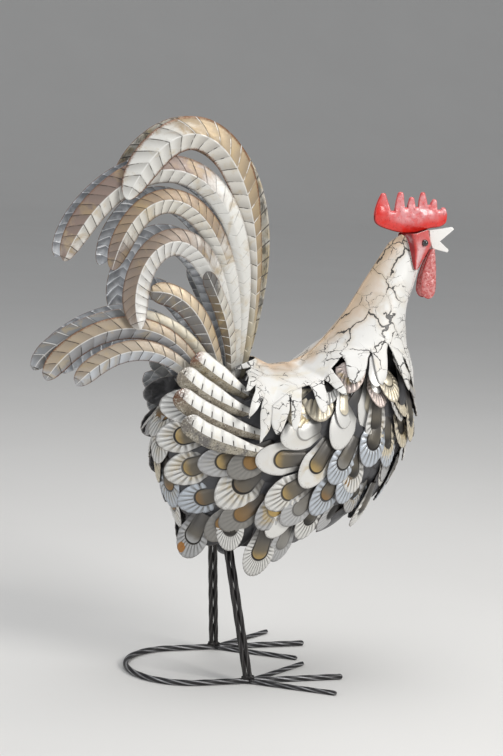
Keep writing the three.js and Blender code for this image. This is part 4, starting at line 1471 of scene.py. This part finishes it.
@dataclass
class Cape:
    """Neck and saddle sheet with a fringe of cut fingers."""

    back_line: tuple[tuple[float, float], ...] = (
        (180, 499), (165, 489), (137, 444), (110, 399), (77, 363), (48, 349), (31, 348), (12, 357),
    )
    front_edge: tuple[tuple[float, float], ...] = ((196, 462), (191.5, 438), (187.5, 416), (185, 392), (187, 377))
    bib_foot: tuple[float, float] = (190, 346)
    seam: float = 0.7  # gap between the sheet and the bird's middle
    fingers: tuple[Finger, ...] = (
        Finger((199, 346), (187, 377), (186, 368)),
        Finger((200, 322), (186, 368), (170, 369)),
        Finger((178, 329), (170, 369), (152, 381)),
        Finger((138, 338), (152, 381), (129, 376)),
        Finger((106, 339), (129, 372), (98, 366)),
        Finger((95, 328), (84, 353), (75, 341)),
        Finger((67, 309), (75, 341), (56, 336)),
        Finger((32, 290), (46, 334), (30, 330)),
        Finger((14, 286), (30, 330), (9, 316), 0.35),
        Finger((-6, 276), (9, 316), (3, 326), 1.1),
        Finger((-19, 303), (3, 326), (-5, 336), 0.15),
        Finger((-20, 331), (-5, 336), (0, 350), 0.3),
        Finger((-20, 349), (0, 350), (-7, 356)),
    )
    rows: int = 20
    finger_columns: int = 10
    finger_rows: int = 12
    paint: CracklePaint = CracklePaint()
    steel: ShellSteel = ShellSteel()

    def stations(self, fingers: int) -> int:
        """Steps along the lower edge, up to the end of so many fingers."""
        return len(self.front_edge) - 1 + 2 * fingers

    def edge(self) -> list[tuple[tuple[float, float], int, float]]:
        """Lower edge of the cape's body.

        Returns:
            For each corner, its place, the mesh columns that lead up to it and its share of the cape.
        """
        total = self.stations(len(self.fingers))
        corners = [(point, 5 if i else 0, i / total) for i, point in enumerate(self.front_edge)]
        for number, finger in enumerate(self.fingers):
            share = self.stations(number) / total
            if math.dist(corners[-1][0], finger.front) > 0.5:
                corners.append((finger.front, 4, share + 0.4 / total))
            corners.append((finger.rear, self.finger_columns, share + 2 / total))
        return corners

    def proud(self, u: float, v: float) -> float:
        """How far the sheet stands off the body form."""
        over_wing = 11 * v * smooth(u, 0.30, 0.60)
        over_tail = 17 * v**0.5 * smooth(u, 0.80, 0.95)
        return 3 * v + over_wing + over_tail

    def add_body(self, piece: Piece, side: Side) -> None:
        """Lays the cape from its back line to the roots of the fingers."""
        corners = self.edge()
        total = sum(columns for _, columns, _ in corners)
        marks, count = [], 0
        for point, columns, share in corners:
            count += columns
            marks.append((count / total, point, share))

        def lower(u: float) -> tuple[float, float, float]:
            """Point of the lower edge, and its share of the cape."""
            for (a, start, share_a), (b, end, share_b) in zip(marks, marks[1:]):
                if u <= b + 1e-9:
                    part = (u - a) / (b - a)
                    return lerp(start[0], end[0], part), lerp(start[1], end[1], part), lerp(share_a, share_b, part)
            return (*marks[-1][1], 1.0)

        def place(u: float, v: float) -> Vector:
            """Point of the surface."""
            low_x, low_z, share = lower(u)
            top = along_polyline(self.back_line, 1 - (1 - share) ** 1.8)
            down = v**1.5
            x, z = lerp(top[0], low_x, down), lerp(top[1], low_z, down)
            closing = lerp(0.03, 0.16, smooth(body_half_width(*top), 0, 6))
            half = (body_half_width(x, z) + self.proud(share, down)) * smooth(down, -0.001, closing)
            return frame_point(x, side.value * (self.seam + half), z)

        piece.grid(total, self.rows, place, flip=side is Side.LEFT, fall=lambda u, v: v)

    def add_finger(self, piece: Piece, number: int, side: Side) -> None:
        """Lays one finger below the cape's body."""
        finger = self.fingers[number]
        total = self.stations(len(self.fingers))
        first = self.stations(number) / total
        (fx, fz), (rx, rz) = finger.front, finger.rear
        middle = ((fx + rx) / 2, (fz + rz) / 2)

        def place(u: float, v: float) -> Vector:
            """Point of the surface."""
            half = (1 - 0.20 * smooth(v, 0, 0.22)) * math.sqrt(max(0.0, 1 - v**2.6))
            half *= 1 + finger.swell * math.sin(math.pi * min(1.0, 1.2 * v))
            across = (2 * u - 1) * half
            x = lerp(middle[0], finger.tip[0], v) + across * (rx - fx) / 2
            z = lerp(middle[1], finger.tip[1], v) + across * (rz - fz) / 2
            curl = 1.6 * v * v - 1.2 * across * across * v + 0.25 * (number % 3)
            proud = self.seam + self.proud(first + 2 * u / total, 1.0)
            return frame_point(x, side.value * (body_half_width(x, z) + proud + curl), z)

        piece.grid(self.finger_columns, self.finger_rows, place, flip=side is Side.LEFT, fall=everywhere)

    def add_throat(self, piece: Piece, side: Side) -> None:
        """Carries the sheet from its front edge round to the middle of the throat."""

        def place(u: float, v: float) -> Vector:
            """Point of the surface."""
            x, z = along_polyline((*self.front_edge, self.bib_foot), v)
            bib = smooth(self.front_edge[-1][1] - z, 0, 8)  # a narrow tongue goes on under the fingers
            at = NECK.section(z)
            centre, half_depth = (at.front + at.back) / 2, (at.front - at.back) / 2 + 3.5
            start = self.seam + self.proud(0, 1.0) + body_half_width(x, z)
            turn = math.acos(min(0.98, (x - centre) / half_depth))
            here = lerp(lerp(turn, 0.25, bib), 0.03 * (1 - bib), u)
            wide = start / math.sin(turn) - 2 * bib
            deep = (x - centre) / math.cos(turn) - 2 * bib
            return frame_point(centre + deep * math.cos(here), side.value * wide * math.sin(here), z)

        piece.grid(8, 28, place, flip=side is Side.RIGHT, fall=everywhere)

    def build(self) -> None:
        """Both halves of the cape."""
        paint, steel = self.paint.build("cape_crackle"), self.steel.build("cape_back_steel")
        for side in Side:
            piece = Piece(f"cape_{side.label}_crackled")
            self.add_body(piece, side)
            for number in range(len(self.fingers)):
                self.add_finger(piece, number, side)
            self.add_throat(piece, side)
            piece.weld(0.15)
            inner = [vert for vert in piece.mesh.verts if not vert.is_boundary]
            for _ in range(2):
                axes = {f"use_axis_{axis}": True for axis in "xyz"}
                bmesh.ops.smooth_vert(piece.mesh, verts=inner, factor=0.5, **axes)
            piece.finish("cape_paint", f"cape_{side.label}", [paint, steel], SHEET)


# ---------------------------------------------------------------- head
@dataclass(frozen=True)
class CombPoint:
    """One point of the comb: back and front of its root, back and front of its tip, height of the tip."""

    root: tuple[float, float]
    tip: tuple[float, float]
    top: float


@dataclass
class Head:
    """Face, comb, beak, wattles and eyes."""

    comb_points: tuple[CombPoint, ...] = (
        CombPoint((145.8, 163.5), (151.8, 157.0), 545),
        CombPoint((170.0, 180.3), (172.4, 178.2), 547),
        CombPoint((185.2, 193.3), (186.8, 191.6), 541.6),
        CombPoint((198.2, 207.8), (200.2, 204.6), 547.6),
        CombPoint((212.6, 220.4), (214.8, 219.0), 540),
        CombPoint((224.6, 232.6), (226.4, 231.0), 530.8),
    )
    comb_valleys: tuple[float, ...] = (519, 525, 529.5, 530.5, 533.5, 528, 520.5)  # with both ends
    face_top: float = 502.5
    face_chin: float = 461
    beak_upper: tuple[tuple[float, float], ...] = ((212.5, 504.5), (241, 509), (243, 506.5), (226.5, 492.5))
    beak_lower: tuple[tuple[float, float], ...] = ((238, 483), (236.8, 480), (218, 484), (214.5, 493))
    comb_sheet: float = 1.2
    beak_sheet: float = 1.6
    eye_centre: tuple[float, float, float] = (202, 16, 491.3)
    eye_radius: float = 3.9

    def crown(self, u: float) -> tuple[float, float]:
        """Top edge of the comb, from back to front."""
        points, last = self.comb_points, len(self.comb_points) - 1
        number = min(last, int(u * (last + 1)))
        inside = u * (last + 1) - number
        point, flat, side = points[number], 0.12, 0.42
        back, front = self.comb_valleys[number], self.comb_valleys[number + 1]
        if inside < flat and number > 0:
            middle = (points[number - 1].root[1] + point.root[0]) / 2
            return lerp(middle, point.root[0], inside / flat), back
        if inside > 1 - flat and number < last:
            middle = (point.root[1] + points[number + 1].root[0]) / 2
            return lerp(middle, point.root[1], (1 - inside) / flat), front
        reach = (point.tip[1] - point.tip[0]) / 2
        shoulder = point.top - reach
        if inside < side:
            start = flat if number else 0.0
            share = (inside - start) / (side - start)
            return lerp(point.root[0], point.tip[0], share**2), lerp(back, shoulder, share)
        if inside > 1 - side:
            start = flat if number < last else 0.0
            share = (1 - inside - start) / (side - start)
            return lerp(point.root[1], point.tip[1], share**1.2), lerp(front, shoulder, share)
        turn = math.pi * (inside - side) / (1 - 2 * side)
        return point.tip[0] + reach * (1 - math.cos(turn)), shoulder + reach * math.sin(turn)

    def belly(self, x: float) -> float:
        """Height of the comb's lower edge."""
        back, front = self.comb_points[0].root[0], self.comb_points[-1].root[1]
        share = min(1.0, max(0.0, (x - back) / (front - back)))
        sag = 16.5 * (4 * share * (1 - share)) ** 0.3 + 2.4 * math.exp(-(((share - 0.44) / 0.2) ** 2))
        sag -= 2.0 * math.exp(-(((share - 0.78) / 0.12) ** 2))
        return lerp(self.comb_valleys[0], self.comb_valleys[-1], share) - sag

    def make_comb(self, side: Side) -> None:
        """One comb plate, dished and hammered."""
        piece = Piece(f"comb_{side.label}_hammered")

        def rise(u: float, v: float) -> tuple[float, float, float]:
            """Place of a point in the side view, and its height above the comb's lower edge."""
            x, top = self.crown(u)
            low = self.belly(x)
            return x, lerp(low, top, v), v * (top - low)

        def place(u: float, v: float) -> Vector:
            """Point of the surface."""
            x, z, above = rise(u, v)
            edge = min(1.0, v, 1 - v, 2 * u, 2 - 2 * u) / 0.12
            swell = 2.6 * math.sqrt(max(0.0, min(1.0, above / 14, edge))) * (1 - 0.75 * smooth(z, 520, 534))
            dent = 0.7 * noise.noise(Vector((x, z, 7.0 * side.value)) / 7.0)
            return frame_point(x, side.value * (1.0 + swell + dent), z)

        def worn(u: float, v: float) -> float:
            """Where a pink highlight is painted on the enamel, and where it is darkened along the lower edge."""
            x, _, above = rise(u, v)
            comb_highlight = smooth(above, 4, 17) * smooth(x + 0.5 * above, 150, 188) * (1 - 0.5 * smooth(v, 0.90, 1.0))
            return comb_highlight - 0.8 * (1 - smooth(above, 0, 2))

        piece.grid(192, 26, place, flip=side is Side.LEFT, worn=worn)
        enamel = RedEnamel().build(f"comb_enamel_{side.label}")
        piece.finish("red_enamel", f"comb_{side.label}", [enamel], self.comb_sheet)

    def make_face(self) -> None:
        """Folded plate round the front of the head."""
        piece = Piece("face_hammered")

        def place(u: float, v: float) -> Vector:
            """Point of the surface."""
            side, nose = 2 * u - 1, 0.25
            round_nose = min(1.0, abs(side) / nose)
            cheek = max(0.0, (abs(side) - nose) / (1 - nose))
            front = 209 + 4 * smooth(v, 0, 0.40) - 13.5 * max(0.0, (v - 0.42) / 0.58)
            back = lerp(179.5, 189.5, v)
            wide = lerp(20, 17.5, v**1.4)
            x = lerp(front, back, cheek) + 3 * (1 - round_nose)
            tuck = smooth(cheek, 0.65, 1.0) * (4 * (1 - v) + 6 * (1 - v) ** 5)
            y = lerp(6 * round_nose, wide, min(1.0, 1.6 * cheek)) - tuck
            z = lerp(self.face_top, self.face_chin, v) + (5.5 * (1 - cheek) - 2.5) * (1 - v)
            dent = 0.5 * noise.noise(Vector((x, z, side * 9)) / 6.0)
            return frame_point(x, math.copysign(y + dent * round_nose, side) if side else 0.0, z)

        def worn(u: float, v: float) -> float:
            """Where a pink highlight is painted on the lit facet; painted shade darkens the back of the cheek, and it
            is darker towards the bottom.
            """
            cheek = abs(2 * u - 1)
            facet = smooth(cheek, 0.38, 0.56) * (1 - smooth(cheek, 0.74, 0.82))
            face_highlight = 0.15 + 0.9 * facet * smooth(v, 0.05, 0.5)
            return face_highlight - smooth(cheek, 0.80, 0.88) - 0.5 * smooth(v, 0.9, 1.0)

        piece.grid(64, 26, place, flip=True, worn=worn)
        enamel = RedEnamel((0.60, 0.045, 0.038), (0.76, 0.46, 0.46), mottle=0.25).build("face_enamel")
        rim = BeakPaint().build("face_bare_edge")
        face = piece.finish("red_enamel", "face", [enamel, rim], SHEET)
        face.modifiers["sheet"].material_offset = 0
        face.modifiers["sheet"].material_offset_rim = 1

    def make_wattle(self, side: Side) -> None:
        """One hanging wattle, a dished drop."""
        piece = Piece(f"wattle_{side.label}_hammered")
        edges = (
            ((216, 483, 0), (210, 471, 0), (204, 456, 0), (204.5, 439, 0)),
            ((220, 484, 0), (222, 472, 0), (223.5, 452, 0), (222, 438, 0)),
        )
        rear, front = (Bezier(tuple(Vector(point) for point in edge)) for edge in edges)
        rounding = 0.78  # share of the length at which the edges run into the round end

        def place(u: float, v: float) -> Vector:
            """Point of the surface."""
            share = min(1.0, v / rounding)
            a, b = rear.at(share), front.at(share)
            if v > rounding:
                turn = (v - rounding) / (1 - rounding) * math.pi / 2
                middle, reach = (a + b) / 2, (b - a) / 2
                a, b = middle - reach * math.cos(turn), middle + reach * math.cos(turn)
                drop = Vector((0, -11 * math.sin(turn), 0))
                a, b = a + drop, b + drop
            point = a.lerp(b, u)
            swell = 3.0 * math.sqrt(max(0.0, 1 - (2 * u - 1) ** 2))
            swell *= math.sin(math.pi * min(0.97, v + 0.08)) ** 0.5
            dent = 0.7 * noise.noise(Vector((point.x, point.y, 3.0 * side.value)) / 5.0)
            lean = 0.12 * (480 - point.y)
            return frame_point(point.x, side.value * (2.0 + lean + swell + dent), point.y)

        def worn(u: float, v: float) -> float:
            """Where a pink highlight is painted; darker at the bottom and along the rear edge."""
            return 0.9 - 1.6 * smooth(v, 0.90, 1.0) - 0.7 * (1 - smooth(u, 0.0, 0.18))

        piece.grid(24, 50, place, flip=side is Side.RIGHT, worn=worn)
        enamel = RedEnamel((0.46, 0.055, 0.050), (0.68, 0.29, 0.28), hammer=360, mottle=0.75)
        piece.finish("red_enamel", f"wattle_{side.label}", [enamel.build(f"wattle_enamel_{side.label}")], SHEET)

    def make_beak(self, side: Side) -> None:
        """One beak plate, cut with two points."""
        piece = Piece(f"beak_{side.label}_cut")
        outline = self.beak_upper + self.beak_lower
        verts = [piece.mesh.verts.new(frame_point(x, side.value * 0.5, z)) for x, z in outline]
        made = bmesh.ops.extrude_face_region(piece.mesh, geom=[piece.mesh.faces.new(verts)])["geom"]
        raised = [item for item in made if isinstance(item, bmesh.types.BMVert)]
        bmesh.ops.translate(piece.mesh, verts=raised, vec=Vector((0, side.value * self.beak_sheet * MM, 0)))
        bmesh.ops.recalc_face_normals(piece.mesh, faces=piece.mesh.faces)
        form = {"affect": "EDGES", "segments": 2, "profile": 0.5, "material": -1}
        bmesh.ops.bevel(piece.mesh, geom=piece.mesh.edges[:], offset=0.45 * MM, **form)
        piece.finish("beak_paint", f"beak_{side.label}", [BeakPaint().build(f"beak_white_{side.label}")])

    def make_eye(self, side: Side) -> None:
        """One bead eye."""
        x, y, z = self.eye_centre
        piece = Piece(f"eye_{side.label}_bead")
        made = bmesh.ops.create_uvsphere(piece.mesh, u_segments=32, v_segments=20, radius=self.eye_radius * MM)
        bmesh.ops.translate(piece.mesh, verts=made["verts"], vec=frame_point(x, side.value * y, z))
        for part in piece.mesh.faces:
            part.smooth = True
        piece.finish("eye_black", f"eye_{side.label}", [BlackBead().build(f"eye_black_{side.label}")])

    def build(self) -> None:
        """The whole head."""
        self.make_face()
        for side in Side:
            self.make_comb(side)
            self.make_beak(side)
            self.make_wattle(side)
            self.make_eye(side)


# ---------------------------------------------------------------- studio
@dataclass
class Studio:
    """Floor, light and camera."""

    distance: float = 2200.0
    azimuth: float = -18.0
    elevation: float = 8.4
    roll: float = 3.0
    target: tuple[float, float, float] = (9.8, 0.0, 333.35)
    lens: float = 93.52

    def make_floor(self) -> None:
        """Pale floor that curves up behind the bird."""
        floor = Piece("studio_floor")
        front, depth, rise, radius = -9.0, 16.0, 3.0, 3.0
        run = depth + radius * math.pi / 2 + rise

        def place(u: float, v: float) -> Vector:
            """Point of the surface."""
            along = v * run
            x = lerp(-14.0, 14.0, u)
            if along < depth:
                return Vector((x, front + along, 0.0))
            if along < depth + radius * math.pi / 2:
                turn = (along - depth) / radius
                return Vector((x, front + depth + radius * math.sin(turn), radius - radius * math.cos(turn)))
            return Vector((x, front + depth + radius, radius + along - depth - radius * math.pi / 2))

        floor.grid(4, 90, place)
        sweep = floor.make(StudioFloor().build("studio_floor"))

    def add_light(self, name: str, place: Vector, size: float, watts: float, colour: Colour) -> None:
        """Adds one soft square light aimed at the bird's breast."""
        data = bpy.data.lights.new(name, "AREA")
        data.energy, data.size, data.color = watts, size, colour
        light = bpy.data.objects.new(name, data)
        light.location = place
        light.rotation_mode = "QUATERNION"
        aim = Vector((0.0, 0.0, 0.32)) - place
        light.rotation_quaternion = aim.to_track_quat("-Z", "Y")
        bpy.context.scene.collection.objects.link(light)

    def make_lights(self) -> None:
        """Soft key from the front of the bird, weak fill, light from above."""
        self.add_light("key", Vector((1.5, -1.7, 1.7)), 1.1, 42, (1.0, 0.985, 0.96))
        self.add_light("top", Vector((0.1, 0.2, 2.1)), 1.4, 18, (1.0, 1.0, 1.0))
        self.add_light("fill", Vector((-2.0, -1.4, 0.9)), 1.4, 14, (0.95, 0.97, 1.0))
        world = bpy.data.worlds.new("studio")
        world.use_nodes = True
        background = world.node_tree.nodes["Background"]
        background.inputs["Color"].default_value = (0.80, 0.82, 0.85, 1)
        background.inputs["Strength"].default_value = 0.42
        bpy.context.scene.world = world

    def make_camera(self) -> None:
        """Long lens from the bird's right, a little above it."""
        turn, lift, roll = (math.radians(a) for a in (self.azimuth, self.elevation, self.roll))
        back = Vector((math.sin(turn) * math.cos(lift), -math.cos(turn) * math.cos(lift), math.sin(lift)))
        data = bpy.data.cameras.new("camera")
        data.lens, data.sensor_width = self.lens, 36.0
        data.clip_start, data.clip_end = 0.05, 30.0
        camera = bpy.data.objects.new("camera", data)
        camera.location = frame_point(*self.target) + back * self.distance * MM
        camera.rotation_mode = "QUATERNION"
        camera.rotation_quaternion = Quaternion(back, roll) @ back.to_track_quat("Z", "Y")
        bpy.context.scene.collection.objects.link(camera)
        bpy.context.scene.camera = camera

    def build(self) -> None:
        """The whole studio."""
        self.make_floor()
        self.make_lights()
        self.make_camera()
        bpy.context.scene.view_settings.view_transform = "Standard"


def main() -> None:
    """Builds every sub-assembly in order."""
    logging.basicConfig(level=logging.INFO, format="%(message)s")
    Studio().build()
    TwistedRods().build()
    TailPlumes().build()
    WingFeathers().build()
    BodyFeathers().build()
    Cape().build()
    Head().build()
    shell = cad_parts["body_shell"]
    shell.data.materials.clear()
    shell.data.materials.append(ShellSteel().build("body_shell_steel"))


if __name__ == "__main__":
    main()
